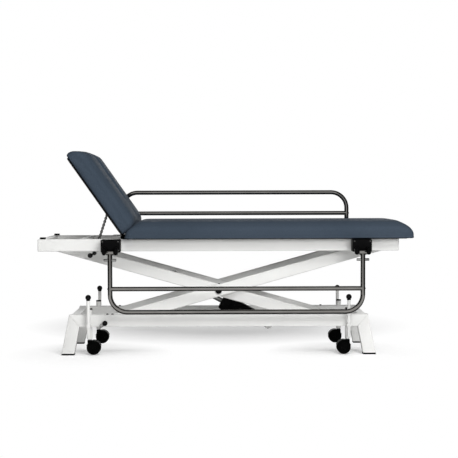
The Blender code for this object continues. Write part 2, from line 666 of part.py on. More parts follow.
def frame_rail(label, side):
    name = "frame_rail_" + label
    size = (2 * FRAME_HALF_LENGTH, FRAME_TUBE_WIDTH, TUBE_DEPTH)
    part = block(name, size, edge=EDGE_ROUND)
    middle_z = FRAME_BOTTOM + TUBE_DEPTH / 2
    low, high = roller_run(2 * UPPER_ARM)
    track_width = FRAME_INNER_Y - (OUTER_ARM_Y + ARM_WIDTH / 2 + ROLLER_SIDE_GAP)
    track_bottom = UPPER_PIVOT_Z + ROLLER_RADIUS + GAP
    track_end = min(UPPER_PIVOT_X + high, FRAME_HALF_LENGTH - FRAME_TUBE_WIDTH - GAP)
    track_start = UPPER_PIVOT_X + low
    track_size = (track_end - track_start, track_width + TUBE_WALL / 2, TRACK_THICKNESS)
    join(part, block(name + "_track", track_size,
                     ((track_start + track_end) / 2,
                      -side * (FRAME_TUBE_WIDTH / 2 + track_width / 2 - TUBE_WALL / 4),
                      track_bottom + TRACK_THICKNESS / 2 - middle_z)))
    if label == "near":
        release_z = FRAME_BOTTOM - GAP - RELEASE_HUB_RADIUS
        hanger_y = RELEASE_HUB_LENGTH / 2 + GAP + HANGER_THICKNESS / 2
        hanger_low = release_z - HANGER_WIDTH / 2
        hanger_high = FRAME_BOTTOM + TUBE_WALL / 2
        hanger = block(name + "_hanger", (HANGER_WIDTH, HANGER_THICKNESS, hanger_high - hanger_low),
                       (RELEASE_PIVOT_X, hanger_y, (hanger_high + hanger_low) / 2 - middle_z))
        join(part, hanger)
        cut(part, rod(name + "_release_hole", RELEASE_PIN_RADIUS + RUNNING_GAP, HANGER_THICKNESS + THROUGH,
                      (RELEASE_PIVOT_X, hanger_y, release_z - middle_z), ALONG_Y))
    hollow_out(part, size, 0)
    return finish(part, white_paint, (0, side * FRAME_TUBE_Y, middle_z))


def frame_cross(label, way):
    size = (FRAME_TUBE_WIDTH, 2 * (FRAME_INNER_Y - GAP), TUBE_DEPTH)
    part = block("frame_cross_" + label, size, edge=EDGE_ROUND)
    hollow_out(part, size, 1)
    return finish(part, white_paint, (way * (FRAME_HALF_LENGTH - FRAME_TUBE_WIDTH / 2), 0,
                                      FRAME_BOTTOM + TUBE_DEPTH / 2))


def bumper(label, side):
    height = SADDLE_HALF_HEIGHT + PAD_LIFT - BUMPER_CLEARANCE
    part = block("bumper_" + label, (BUMPER_LENGTH, BUMPER_WIDTH, height), (0, 0, height / 2),
                 edge=EDGE_ROUND / 2)
    at = (-FRAME_HALF_LENGTH + BUMPER_FROM_END, side * FRAME_TUBE_Y, FRAME_TOP + GAP)
    return finish(part, black_rubber, at)


def release_lever():
    part = rod("release_lever", RELEASE_HUB_RADIUS, RELEASE_HUB_LENGTH, along=ALONG_Y)
    pin_length = RELEASE_HUB_LENGTH / 2 + 2 * GAP + HANGER_THICKNESS
    join(part, rod("release_lever_pin", RELEASE_PIN_RADIUS, pin_length, (0, pin_length / 2, 0), ALONG_Y))
    end = (RELEASE_BALL_OFFSET[0], 0, RELEASE_BALL_OFFSET[1])
    join(part, rod_between("release_lever_rod", (0, 0, 0), end, RELEASE_PIN_RADIUS))
    join(part, ball("release_lever_ball", RELEASE_BALL_RADIUS, end))
    return finish(part, black_plastic,
                  (RELEASE_PIVOT_X, -FRAME_TUBE_Y, FRAME_BOTTOM - GAP - RELEASE_HUB_RADIUS))


def hinge_shaft():
    part = rod("hinge_shaft", HINGE_RADIUS, HINGE_LENGTH, along=ALONG_Y)
    for label, side in SIDES:
        join(part, block("hinge_saddle_" + label, (SADDLE_LENGTH, SADDLE_WIDTH, 2 * SADDLE_HALF_HEIGHT),
                         (0, side * FRAME_TUBE_Y, 0)))
    return finish(part, black_plastic, (HINGE_X, 0, HINGE_Z))


def lock_bridge():
    """Frame cross tube with the two lugs that carry the backrest lock."""
    tube_z = FRAME_TOP - BRIDGE_DEPTH / 2
    size = (BRIDGE_WIDTH, 2 * (FRAME_INNER_Y - GAP), BRIDGE_DEPTH)
    part = block("lock_bridge", size, edge=EDGE_ROUND)
    drop = LOCK_Z - tube_z
    lug_y = LOCK_BODY_SIZE[1] / 2 + GAP + LOCK_LUG_THICKNESS / 2
    cheek = 2 * LOCK_TRUNNION_RADIUS
    outline = [(0, BRIDGE_DEPTH / 2 - TUBE_WALL / 2), (0, drop),
               (BRIDGE_FROM_LOCK - cheek, drop - cheek), (BRIDGE_FROM_LOCK + cheek, drop - cheek),
               (BRIDGE_FROM_LOCK + cheek, drop + cheek),
               (BRIDGE_WIDTH / 2, BRIDGE_DEPTH / 2 - TUBE_WALL / 2)]
    for label, side in SIDES:
        join(part, plate("lock_lug_" + label, outline, LOCK_LUG_THICKNESS, side * lug_y))
    cut(part, rod("lock_lug_hole", LOCK_TRUNNION_RADIUS + RUNNING_GAP,
                  2 * (lug_y + LOCK_LUG_THICKNESS), (BRIDGE_FROM_LOCK, 0, drop), ALONG_Y))
    hollow_out(part, size, 1)
    return finish(part, white_paint, (LOCK_X - BRIDGE_FROM_LOCK, 0, tube_z))


def lock_turn():
    """Turn that lays local +X along the lock rod, from the lock to the backrest."""
    return math.atan2(LOCK_Z - ROD_PIN_Z, ROD_PIN_X - LOCK_X)


def lock_body():
    part = block("lock_body", LOCK_BODY_SIZE, edge=EDGE_ROUND)
    trunnion_length = LOCK_BODY_SIZE[1] + 2 * (2 * GAP + LOCK_LUG_THICKNESS)
    join(part, rod("lock_body_trunnion", LOCK_TRUNNION_RADIUS, trunnion_length, along=ALONG_Y))
    cut(part, rod("lock_body_bore", LOCK_ROD_RADIUS + RUNNING_GAP, LOCK_BODY_SIZE[0] + 2 * THROUGH,
                  along=ALONG_X))
    return finish(part, black_plastic, (LOCK_X, 0, LOCK_Z), lock_turn())


def lock_rod():
    eye_width = 2 * (ROD_LUG_INNER - GAP)
    pin_length = 2 * (ROD_LUG_INNER + ROD_LUG_THICKNESS + GAP)
    part = rod("lock_rod", LOCK_ROD_RADIUS, LOCK_ROD_LENGTH, (-LOCK_ROD_LENGTH / 2, 0, 0), ALONG_X)
    join(part, rod("lock_rod_eye", LOCK_EYE_RADIUS, eye_width, along=ALONG_Y))
    join(part, rod("lock_rod_pin", LOCK_PIN_RADIUS, pin_length, along=ALONG_Y))
    return finish(part, bare_steel, (ROD_PIN_X, 0, ROD_PIN_Z), lock_turn())


def cushion_cage(name, length_at, half_width, bottom, thickness):
    """Coarse cage of an upholstered pad: crowned on top, drawn in along its sides.

    length_at gives the pad's start and end in X at a share of its height.
    """
    bm = bmesh.new()
    bmesh.ops.create_cube(bm, size=2.0)
    for axis, places in enumerate(PAD_CUTS):
        normal = [0.0, 0.0, 0.0]
        normal[axis] = 1.0
        for place in places:
            point = [place * share for share in normal]
            geometry = bm.verts[:] + bm.edges[:] + bm.faces[:]
            bmesh.ops.bisect_plane(bm, geom=geometry, plane_co=point, plane_no=normal)
    crease = bm.edges.layers.float.new("crease_edge")
    for edge in bm.edges:
        ends = [vert.co for vert in edge.verts]
        low = all(co.z < -PAD_RIM_SHARE for co in ends)
        at_end = all(abs(co.x) > PAD_RIM_SHARE for co in ends)
        at_side = all(abs(co.y) > PAD_RIM_SHARE for co in ends)
        edge[crease] = 1.0 if low and (at_end or at_side) else 0.0
    for vert in bm.verts:
        along, across, up = vert.co
        share = (up + 1) / 2
        crown = 1 - across ** PAD_CROWN_POWER
        end_crown = 1 - PAD_END_SHARE * along ** PAD_END_POWER
        height = thickness - PAD_EDGE_DROP * (1 - crown * end_crown)
        draw = PAD_SIDE_DRAW * (1 - along ** 2) * (1 - up ** 2)
        start, end = length_at(share)
        vert.co.x = start + (end - start) * (along + 1) / 2
        vert.co.y = across * (half_width - draw)
        vert.co.z = bottom + height * share
    item = mesh_object(name, bm)
    smooth = item.modifiers.new("soft_form", "SUBSURF")
    smooth.levels = 1
    smooth.render_levels = 1
    return item


def board_size(start, end):
    return (end - start - 2 * BOARD_MARGIN, PAD_WIDTH - 2 * BOARD_MARGIN, BOARD_THICKNESS)


def face_slot(name, thickness):
    """Cutter for the face slot that is open at the head end."""
    radius = FACE_SLOT_WIDTH / 2
    head = -BACKREST_START - BACKREST_LENGTH
    inner = head + FACE_SLOT_LENGTH
    straight = FACE_SLOT_LENGTH - radius + FACE_SLOT_WIDTH
    slot = block(name, (straight, FACE_SLOT_WIDTH, thickness),
                 (inner - radius - straight / 2, 0, thickness / 4))
    return join(slot, rod(name + "_end", radius, thickness, (inner - radius, 0, thickness / 4)))


def seat_board():
    size = board_size(SEAT_START, SEAT_END)
    part = block("seat_board", size, (0, 0, BOARD_THICKNESS / 2))
    return finish(part, plywood, ((SEAT_START + SEAT_END) / 2, 0, FRAME_TOP + GAP))


def seat_pad():
    def length_at(share):
        return SEAT_START + SEAT_BEVEL * share, SEAT_END - SEAT_NOSE * (2 * share - 1) ** 2

    part = cushion_cage("seat_pad", length_at, PAD_WIDTH / 2, FRAME_TOP + GAP, PAD_THICKNESS)
    size = board_size(SEAT_START, SEAT_END)
    pocket = (size[0] + 2 * GAP, size[1] + 2 * GAP, 2 * (BOARD_THICKNESS + GAP))
    cut(part, block("seat_pocket", pocket, ((SEAT_START + SEAT_END) / 2, 0, FRAME_TOP + GAP)))
    return finish(part, upholstery)


def back_span(share):
    end = -BACKREST_START - BACKREST_END_LEAN * share
    return -BACKREST_START - BACKREST_LENGTH + SEAT_NOSE * (2 * share - 1) ** 2, end


def back_board():
    """Backrest board with the hinge ears and the lugs of the lock rod."""
    start = -BACKREST_START - BACKREST_LENGTH
    size = board_size(start, -BACKREST_START)
    middle = start + BACKREST_LENGTH / 2
    top = PAD_LIFT + BOARD_THICKNESS / 2
    part = block("back_board", size, (middle, 0, top))
    board_edge = -BACKREST_START - BOARD_MARGIN
    for label, side in SIDES:
        ear_reach = -board_edge + BOARD_MARGIN
        join(part, block("back_ear_arm_" + label, (ear_reach, EAR_THICKNESS, top),
                         (-ear_reach / 2, side * EAR_Y, top / 2)))
        join(part, rod("back_ear_" + label, EAR_RADIUS, EAR_THICKNESS, (0, side * EAR_Y, 0), ALONG_Y))
        lug_y = side * (ROD_LUG_INNER + ROD_LUG_THICKNESS / 2)
        lug_height = ROD_LUG_DROP + top
        join(part, block("back_lug_" + label, (ROD_LUG_LENGTH, ROD_LUG_THICKNESS, lug_height),
                         (-LOCK_ARM, lug_y, lug_height / 2 - ROD_LUG_DROP)))
    hinge_reach = 2 * (EAR_Y + EAR_THICKNESS)
    cut(part, rod("back_hinge_hole", HINGE_RADIUS + RUNNING_GAP, hinge_reach, along=ALONG_Y))
    lug_reach = 2 * (ROD_LUG_INNER + ROD_LUG_THICKNESS + THROUGH)
    cut(part, rod("back_lug_hole", LOCK_PIN_RADIUS + RUNNING_GAP, lug_reach, (-LOCK_ARM, 0, 0), ALONG_Y))
    eye_room = 2 * (LOCK_EYE_RADIUS + EYE_CLEARANCE)
    cut(part, block("back_eye_room", (eye_room, 2 * ROD_LUG_INNER, eye_room), (-LOCK_ARM, 0, 0)))
    cut(part, face_slot("back_board_slot", 2 * PAD_THICKNESS))
    return finish(part, plywood, (HINGE_X, 0, HINGE_Z), BACKREST_ANGLE)


def back_pad():
    start = -BACKREST_START - BACKREST_LENGTH
    part = cushion_cage("back_pad", back_span, PAD_WIDTH / 2, PAD_LIFT, PAD_THICKNESS)
    size = board_size(start, -BACKREST_START)
    pocket = (size[0] + 2 * GAP, size[1] + 2 * GAP, 2 * (BOARD_THICKNESS + GAP))
    cut(part, block("back_pocket", pocket, (start + BACKREST_LENGTH / 2, 0, PAD_LIFT)))
    cut(part, face_slot("back_pad_slot", 4 * PAD_THICKNESS))
    room_length = 2 * (BACKREST_START + BOARD_MARGIN + THROUGH)
    room = (room_length, EAR_THICKNESS + 2 * THROUGH, 2 * BOARD_THICKNESS)
    for label, side in SIDES:
        cut(part, block("back_ear_room_" + label, room, (0, side * EAR_Y, 0)))
    return finish(part, upholstery, (HINGE_X, 0, HINGE_Z), BACKREST_ANGLE)


def guard_bracket(end, place, label, side):
    """Block on the frame rail with two ears and the pin that carries a side guard."""
    name = "guard_bracket_{}_{}".format(end, label)
    depth = BRACKET_OUTER_Y - FRAME_HALF_WIDTH - GAP
    height = FRAME_TOP - GUARD_PIVOT_Z
    part = block(name, (BRACKET_WIDTH, depth, height),
                 (0, -side * (GUARD_Y - BRACKET_OUTER_Y + depth / 2), height / 2), edge=EDGE_ROUND)
    inner = (GUARD_SLEEVE_LENGTH + 2 * GAP) / 2
    for face in (-1, 1):
        ear_x = face * (inner + GUARD_EAR_WIDTH / 2)
        ear_depth = GUARD_Y - BRACKET_OUTER_Y + EDGE_ROUND
        join(part, rod("{}_ear_{}".format(name, face), GUARD_EAR_RADIUS, GUARD_EAR_WIDTH,
                       (ear_x, 0, 0), ALONG_X))
        arm_size = (GUARD_EAR_WIDTH, ear_depth, 2 * GUARD_EAR_RADIUS)
        join(part, block("{}_ear_arm_{}".format(name, face), arm_size,
                         (ear_x, -side * ear_depth / 2, GUARD_EAR_RADIUS)))
    join(part, rod(name + "_pin", GUARD_PIN_RADIUS, 2 * inner + GUARD_EAR_WIDTH, along=ALONG_X))
    return finish(part, black_plastic, (place, side * GUARD_Y, GUARD_PIVOT_Z))


def side_guard(label, side, hang):
    """Chrome guard loop about its pivot line; hang is -1 when it hangs and +1 when it is up."""
    name = "side_guard_" + label
    half = (GUARD_FOOT_X - GUARD_HEAD_X) / 2
    reach = hang * GUARD_END_BAR
    corners = [(-half, 0, 0), (-half, 0, reach), (half, 0, reach), (half, 0, 0)]
    path = [corners[0]]
    path += rounded_corner(corners[1], corners[0], corners[2], GUARD_BEND_RADIUS)
    path += rounded_corner(corners[2], corners[1], corners[3], GUARD_BEND_RADIUS)
    path.append(corners[3])
    part = bent_tube(name, path, GUARD_TUBE_RADIUS)
    middle = hang * GUARD_MID_BAR
    join(part, rod(name + "_mid_bar", GUARD_TUBE_RADIUS - GAP, 2 * half, (0, 0, middle), ALONG_X))
    for end, way in ENDS:
        join(part, rod("{}_sleeve_{}".format(name, end), GUARD_SLEEVE_RADIUS + GAP, GUARD_SLEEVE_LENGTH,
                       (way * half, 0, 0), ALONG_X))
        join(part, rod("{}_stop_{}".format(name, end), GUARD_STOP_RADIUS, GUARD_STOP_LENGTH,
                       (way * half, 0, hang * GUARD_STOP_FROM_PIVOT), ALONG_X, SMALL_SIDES))
    for end, way in ENDS:
        cut(part, rod("{}_pin_bore_{}".format(name, end), GUARD_PIN_RADIUS + RUNNING_GAP,
                      GUARD_SLEEVE_LENGTH + 2 * THROUGH, (way * half, 0, 0), ALONG_X))
    return finish(part, chrome, ((GUARD_HEAD_X + GUARD_FOOT_X) / 2, side * GUARD_Y, GUARD_PIVOT_Z))


def build_base():
    for label, side in SIDES:
        base_side(label, side)
        for end, way in ENDS:
            foot_pad(end, way, label, side)
            caster_stem(end, way, label, side)
            caster_fork(end, way, label, side)
            caster_wheel(end, way, label, side)
            caster_lever(end, way, label, side)
    for end, way in ENDS:
        base_cross(end, way)
    motor_mount()
    brake_lever()
    cross_shaft("lower_pivot_shaft", PIVOT_RADIUS, BASE_INNER_Y - GAP,
                (-LOWER_PIVOT_X, LOWER_PIVOT_Z), bare_steel)


def build_lift():
    for label, side in SIDES:
        scissor_arm("outer_arm_" + label, side * OUTER_ARM_Y, 1)
        scissor_arm("inner_arm_" + label, side * INNER_ARM_Y, -1)
        centre_pin(label, side)
    tie_half = INNER_ARM_Y - ARM_WIDTH / 2 - GAP
    cross_shaft("arm_tie", TIE_RADIUS, tie_half, (ROD_PIVOT_X, ROD_PIVOT_Z), white_paint)
    wheelset("lower_wheelset", INNER_ARM_Y, BASE_INNER_Y, (LOWER_PIVOT_X, LOWER_PIVOT_Z))
    wheelset("upper_wheelset", OUTER_ARM_Y, FRAME_INNER_Y, (UPPER_PIVOT_X, UPPER_PIVOT_Z))
    lift_motor()
    lift_rod()


def build_top():
    for label, side in SIDES:
        frame_rail(label, side)
        bumper(label, side)
        for end, place in (("head", GUARD_HEAD_X), ("foot", GUARD_FOOT_X)):
            guard_bracket(end, place, label, side)
    for end, way in ENDS:
        frame_cross(end, way)
    cross_shaft("upper_pivot_shaft", PIVOT_RADIUS, FRAME_INNER_Y - GAP,
                (-UPPER_PIVOT_X, UPPER_PIVOT_Z), bare_steel)
    hinge_shaft()
    lock_bridge()
    lock_body()
    lock_rod()
    release_lever()
    side_guard("near", -1, -1)
    side_guard("far", 1, 1)
    seat_board()
    seat_pad()
    back_board()
    back_pad()


clear_scene()
parts = scene_collection(PART_COLLECTION)
cutters = scene_collection(CUTTER_COLLECTION)
carrier = new_object("scissor_centre", None)
carrier.location.x = -LENGTH_MIDDLE
white_paint = paint("white_paint", (0.86, 0.86, 0.84), 0.35, 0.0)
black_rubber = paint("black_rubber", (0.015, 0.015, 0.016), 0.75, 0.0)
black_plastic = paint("black_plastic", (0.012, 0.012, 0.013), 0.45, 0.0)
bare_steel = paint("bare_steel", (0.45, 0.45, 0.44), 0.35, 1.0)
chrome = paint("chrome", (0.62, 0.61, 0.60), 0.12, 1.0)
upholstery = paint("upholstery", (0.055, 0.075, 0.100), 0.5, 0.0)
plywood = paint("plywood", (0.05, 0.05, 0.05), 0.7, 0.0)
build_base()
build_lift()
build_top()
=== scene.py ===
import json
import math

import bmesh
import bpy
from mathutils import Matrix, Vector


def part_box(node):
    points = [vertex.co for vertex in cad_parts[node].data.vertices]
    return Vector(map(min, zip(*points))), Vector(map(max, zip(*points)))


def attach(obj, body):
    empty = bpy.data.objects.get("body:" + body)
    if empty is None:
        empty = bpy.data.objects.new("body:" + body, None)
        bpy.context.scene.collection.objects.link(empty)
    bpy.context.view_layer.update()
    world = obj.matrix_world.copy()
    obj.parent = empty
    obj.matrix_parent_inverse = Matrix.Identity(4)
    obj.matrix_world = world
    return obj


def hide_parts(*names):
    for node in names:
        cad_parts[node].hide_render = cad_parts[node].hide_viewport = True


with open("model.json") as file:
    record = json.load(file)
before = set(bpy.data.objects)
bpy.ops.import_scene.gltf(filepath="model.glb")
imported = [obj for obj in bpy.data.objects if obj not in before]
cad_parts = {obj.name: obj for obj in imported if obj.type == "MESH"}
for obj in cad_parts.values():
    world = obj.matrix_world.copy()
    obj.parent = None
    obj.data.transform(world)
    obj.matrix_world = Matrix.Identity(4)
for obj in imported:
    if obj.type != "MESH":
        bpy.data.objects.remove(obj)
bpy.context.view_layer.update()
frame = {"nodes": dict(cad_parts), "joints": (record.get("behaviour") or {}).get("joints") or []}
JOINTS = {joint["name"]: joint for joint in frame["joints"]}
SCENE = bpy.context.scene

# Photograph: its size in pixels, the focal length and where lines along +Y meet
PHOTO_SIDE = 458
FOCAL_PIXELS = 1066
VANISHING_PIXEL = (218.5, 190.5)
SENSOR_WIDTH = 36.0
CAMERA_HEIGHT = 0.816
CAMERA_DISTANCE = 5.49
CAMERA_ROLL = math.radians(-0.14)

# Base
BASE_TOP = 0.201
BASE_HALF_LENGTH = 0.742
BASE_OUTER_Y = 0.219
BASE_TUBE_WIDTH = 0.040
TUBE_DEPTH = 0.060
LEG_SPLAY = 0.039
LEG_WIDTH = 0.063
FOOT_PAD_HEIGHT = 0.008
TUBE_CORNER = 0.0035
MITRE_GAP = 0.0007
TRACK_SIZE = (0.120, 0.045, 0.006)
SLEEVE_RADIUS = 0.0125
SLEEVE_BORE = 0.0083
SLEEVE_BOTTOM = 0.077
SLEEVE_TOP = 0.226
SLEEVE_CAP_HEIGHT = 0.006
SLEEVE_CAP_RIM = 0.0012
SLEEVE_CAP_GAP = 0.0002
SLEEVE_CAP_SHARES = (0.6, 0.86, 1.15)
SMALL_EDGE = 0.001
ROD_EDGE = 0.002
RUBBER_EDGE = 0.0018
BUFFER_EDGE = 0.0025
RAIL_BOLTS = (-0.554, -0.529, 0.545)
RAIL_BOLT_SINK = 0.0003
RAIL_BOLT_PROFILE = [(0, 0), (0.0065, 0), (0.0065, 0.0012), (0.0052, 0.0012), (0.0048, 0.0045), (0, 0.0048)]

# Casters and hand levers
HOOD_RADIUS = 0.0366
HOOD_WALL = 0.0014
HOOD_WIDTH = 0.046
HOOD_WEB = 0.006
HOOD_EDGE = 0.0006
HOOD_OPENING = math.radians(14)
FORK_BOSS_DROP = 0.028
FORK_BOSS_RADIUS = 0.012
WEB_FOOT = (0.012, 0.008)
WHEEL_RADIUS = 0.0345
WHEEL_AXLE_RADIUS = 0.005
WHEEL_GAP = 0.0005
LEVER_OUT = 0.036
LEVER_RADIUS = 0.0085
LEVER_BOSS_RADIUS = 0.0105
LEVER_BOTTOM = 0.088
LEVER_BALL_Z = 0.291
LEVER_BALL_RADIUS = 0.0140
LEVER_BALL_SEAT = 0.006
LEVER_COLLAR_END = 0.016
LEVER_COLLAR_WALL = 0.0012
BRAKE_BALL = ((0.0175, -0.019, 0.0117), 0.013)
BRAKE_HUB = (0.009, -0.028, -0.0005)
RELEASE_BALL = ((-0.0215, 0.0, -0.0115), 0.0125)
RELEASE_HUB = (0.0092, -0.009, 0.009)
SMALL_HUB_EDGE = 0.0015
SMALL_LEVER_RADIUS = 0.004
SMALL_LEVER_EDGE = 0.0005

# Lift
ARM_ANGLE = math.radians(15.64)
ARM_SECTION = (0.020, 0.058)
LOWER_ARM_END = 0.5538
UPPER_ARM_END = 0.8394
PIVOT_HEAD = (0.016, 0.0062)
PIVOT_HEAD_SINK = 0.005
MOTOR_HOUSING = (0.086, 0.270)
MOTOR_SECTION = (0.070, 0.080)
MOTOR_EDGE = 0.009
MOTOR_SPLIT = 0.72
MOTOR_COLLAR_EDGE = 0.006
MOTOR_GROOVE = (0.0015, 0.006)
MOTOR_NECK = (0.030, 0.028)
MOTOR_NECK_EDGE = 0.004
MOTOR_GEAR_CASE = (0.030, 0.046, 0.052)
MOTOR_GEAR_CASE_BACK = 0.008
MOTOR_GEAR_CASE_EDGE = 0.008
MOTOR_EYE_RADIUS = 0.016
MOTOR_EYE_HALF = 0.018
ROD_RADIUS = 0.0125
ROD_END_FROM_MOTOR = 0.160
ROD_START = 0.016
ROD_EYE_BORE = 0.0153
ROD_EYE_RADIUS = 0.025
ROD_EYE_HALF = 0.020

# Closing plugs of the tubes
PLUG_LENGTH = 0.006
PLUG_SINK = 0.0025
RAIL_PLUG_SINK = 0.0031
PLUG_EDGE = 0.0012
PLUG_WALLS = 0.0065
FRAME_TUBE_WIDTH = 0.030

# Side guards
GUARD_HALF_LENGTH = 0.613
GUARD_END_BAR = 0.289
GUARD_MID_BAR = 0.176
GUARD_RADIUS = 0.0115
GUARD_MID_RADIUS = 0.011
GUARD_SLEEVE_WALL = 0.0004
GUARD_SLEEVE_EDGE = 0.0015
GUARD_BEND_RADIUS = 0.085
GUARD_STOP_DROP = 0.036
GUARD_STOP_LENGTH = 0.061
GUARD_STOP_RADIUS = 0.0062
GUARD_STOP_EDGE = 0.0012
BRACKET_HEIGHT = 0.062
BRACKET_EDGE = 0.005
BRACKET_EAR_RADIUS = 0.0125
BRACKET_EAR_EDGE = 0.0095
BRACKET_EAR_WIDTH = 0.021
BRACKET_EAR_ROOT = 0.004
BRACKET_INNER_Y = 0.247
BRACKET_OUTER_Y = 0.319
BRACKET_GAP = 0.0003
BRACKET_PIN_RADIUS = 0.004
BRACKET_PIN_PROUD = 0.0015
SCREW_HEAD = (0.0042, 0.0022)
SCREW_INSET = 0.009
SCREW_LOW = 0.010
PIVOT_SLEEVE_LENGTH = 0.035
RIVET_HEAD = (0.005, 0.0035)
RIVET_SINK = 0.0012

# Backrest hinge and lock
KNUCKLE_RADIUS = 0.0145
KNUCKLE_LENGTH = 0.030
KNUCKLE_EDGE = 0.003
STRUT_LENGTH = 0.230
STRUT_RADIUS = 0.007
STRUT_GROOVES = 11
STRUT_GROOVE_START = 0.020
STRUT_GROOVE_PITCH = 0.018
STRUT_GROOVE_DEPTH = 0.0022
STRUT_GROOVE_SLOPE = 0.003
STRUT_GROOVE_FLOOR = 0.004
STRUT_EYE = (0.010, 0.0107)
STRUT_PIN = (0.005, 0.0173)

# Cushions: each end has the reach, lift and power of the top's curve and the reach of the tuck below it
SEAT_START = (0.087, 0.32, 1.8, 0.006)
SEAT_NOSE = (0.100, 0.26, 2.3, 0.008)
SEAT_CROWN = (0.36, 0.52)
SEAT_OVERHANG = 0.013
SEAT_EXTRA_LENGTH = 0.031
SEAT_LOWER_TOP = 0.006
SEAT_LIFT = 0.0004
# Dark sheet under the seat cushion: painted shade along its underside
SEAT_SHADE_SHEET_THICKNESS = 0.0015
SEAT_SHADE_SHEET_LIFT = 0.0002
SEAT_SHADE_SHEET_START = 0.030
SEAT_SHADE_SHEET_SHORTER = 0.075
SEAT_SHADE_SHEET_NARROWER = 0.060
BACK_START = (0.040, 0.62, 1.9, 0.006)
BACK_NOSE = (0.078, 0.24, 2.1, 0.008)
BACK_CROWN = (0.29, 0.36)
BACK_FROM_HINGE = 0.006
BACK_LIFT = 0.0015
BACK_LENGTH = 0.482
BACK_THICKNESS = 0.099
# Dark sheet behind the back cushion: painted shade along its underside
BACK_SHADE_SHEET_THICKNESS = 0.004
BACK_SHADE_SHEET_START = 0.012
BACK_SHADE_SHEET_SHORTER = 0.028
BACK_SHADE_SHEET_NARROWER = 0.004
CUSHION_STATIONS = 96
CUSHION_SIDES = 72
CUSHION_CORNER = 0.034
CUSHION_WAIST = 0.30
CUSHION_LOWER_POWER = 0.13
CUSHION_INSET = 0.003
CUSHION_HELD = 0.006
SHADE_SHEET_CORNER = 0.026
SHADE_SHEET_EDGE = 0.0006
CUSHION_CAP = 0.005
CUSHION_VOXEL = 0.006
CUSHION_RELAX = (0.5, 6)
CLOTH_FRAMES = 20
CLOTH_PRESSURE = 4.0
CLOTH_QUALITY = 4
SLOT_WIDTH = 0.080
SLOT_LENGTH = 0.322
BOARD_SLOT_LENGTH = 0.275
BACK_ANGLE = math.radians(55.0)

# Studio: each oval of the floor that keeps its shadow has a centre, a scale and the two ends of its fade,
# each card a size, a centre and a facing, each lamp a place, a target, a size and watts
SHADOW_OVALS = (
    ((-0.03, 1.0), (1.15, 1.5), 0.60, 1.35),
    ((-0.68, -0.16), (1.0, 1.0), 0.10, 0.42),
    ((0.62, -0.16), (1.0, 1.0), 0.10, 0.42),
)
FLOOR_RADIUS = 14.0
FLOOR_DROP = 0.0005
FLOOR_COLOUR = (0.82, 0.82, 0.82, 1)
FLOOR_LIFT = 0.27
WORLD_FILL = 0.25
CARD_GLOW = 0.05
CARDS = (
    ("ceiling_flag", (14.0, 14.2), (0, 3.9, 4.5), (0, 0, -1)),
    ("floor_flag", (4.6, 5.6), (0, 2.2, 0.001), (0, 0, 1)),
    ("head_flag", (4.0, 11.7), (-2.4, 0.15, 2.0), (1, 0, 0)),
    ("foot_flag", (4.0, 11.7), (2.4, 0.15, 2.0), (-1, 0, 0)),
)
LAMPS = (
    ("high_softbox", (0.5, -2.6, 3.2), (0.0, 0.0, 0.4), (2.6, 1.2), 88),
    ("front_softbox", (1.9, -4.8, 2.2), (0.0, 0.0, 0.45), (2.6, 1.3), 118),
    ("rear_softbox", (-0.6, 5.0, 1.8), (0.0, 0.0, 0.45), (3.0, 1.6), 70),
)

ENDS = (("head", -1), ("foot", 1))
SIDES = (("near", -1), ("far", 1))
CORNERS = [(end + "_" + label, side) for end, way in ENDS for label, side in SIDES]
WHITE = (1, 1, 1, 1)
X_AXIS = Vector((1, 0, 0))
Y_AXIS = Vector((0, 1, 0))
Z_AXIS = Vector((0, 0, 1))


def pivot(joint):
    """Place of a joint at rest."""
    return Vector(JOINTS[joint]["pos_m"])


CENTRE = pivot("scissor_cross")


# Shader node groups

def node(tree, kind, inputs=None, **settings):
    item = tree.nodes.new(kind)
    for key, value in settings.items():
        setattr(item, key, value)
    for key, value in (inputs or {}).items():
        item.inputs[key].default_value = value
    return item


def wire(source, out, target, into):
    """Link an output of one node to an input of another."""
    source.id_data.links.new(source.outputs[out], target.inputs[into])


def shader_group(name, inputs, outputs):
    """New node group with its named sockets; gives the tree and its two end nodes."""
    tree = bpy.data.node_groups.new(name, "ShaderNodeTree")
    for label, kind, value in inputs:
        socket = tree.interface.new_socket(name=label, in_out="INPUT",
                                           socket_type="NodeSocket" + kind)
        socket.default_value = value
    for label, kind in outputs:
        tree.interface.new_socket(name=label, in_out="OUTPUT", socket_type="NodeSocket" + kind)
    return tree, tree.nodes.new("NodeGroupInput"), tree.nodes.new("NodeGroupOutput")


def grained_surface_group():
    """Soft blotches in the colour and gloss, over a fine grain."""
    tree, start, end = shader_group(
        "grained_surface",
        [("Colour", "Color", (0.8, 0.8, 0.8, 1)), ("Second Colour", "Color", (0.7, 0.7, 0.7, 1)),
         ("Blotch Scale", "Float", 6.0), ("Grain Scale", "Float", 600.0),
         ("Smooth Roughness", "Float", 0.3), ("Dull Roughness", "Float", 0.45)],
        [("Colour", "Color"), ("Roughness", "Float"), ("Height", "Float")])
    place = node(tree, "ShaderNodeTexCoord")
    blotch = node(tree, "ShaderNodeTexNoise", {"Detail": 4.0, "Roughness": 0.55})
    grain = node(tree, "ShaderNodeTexNoise", {"Detail": 2.0})
    contrast = node(tree, "ShaderNodeMapRange", {"From Min": 0.35, "From Max": 0.68})
    colour = node(tree, "ShaderNodeMix", data_type="RGBA")
    gloss = node(tree, "ShaderNodeMapRange")
    wire(place, "Object", blotch, "Vector")
    wire(place, "Object", grain, "Vector")
    wire(start, "Blotch Scale", blotch, "Scale")
    wire(start, "Grain Scale", grain, "Scale")
    wire(blotch, "Fac", contrast, "Value")
    wire(contrast, "Result", colour, "Factor")
    wire(start, "Colour", colour, "A")
    wire(start, "Second Colour", colour, "B")
    wire(contrast, "Result", gloss, "Value")
    wire(start, "Smooth Roughness", gloss, "To Min")
    wire(start, "Dull Roughness", gloss, "To Max")
    wire(colour, "Result", end, "Colour")
    wire(gloss, "Result", end, "Roughness")
    wire(grain, "Fac", end, "Height")
    return tree


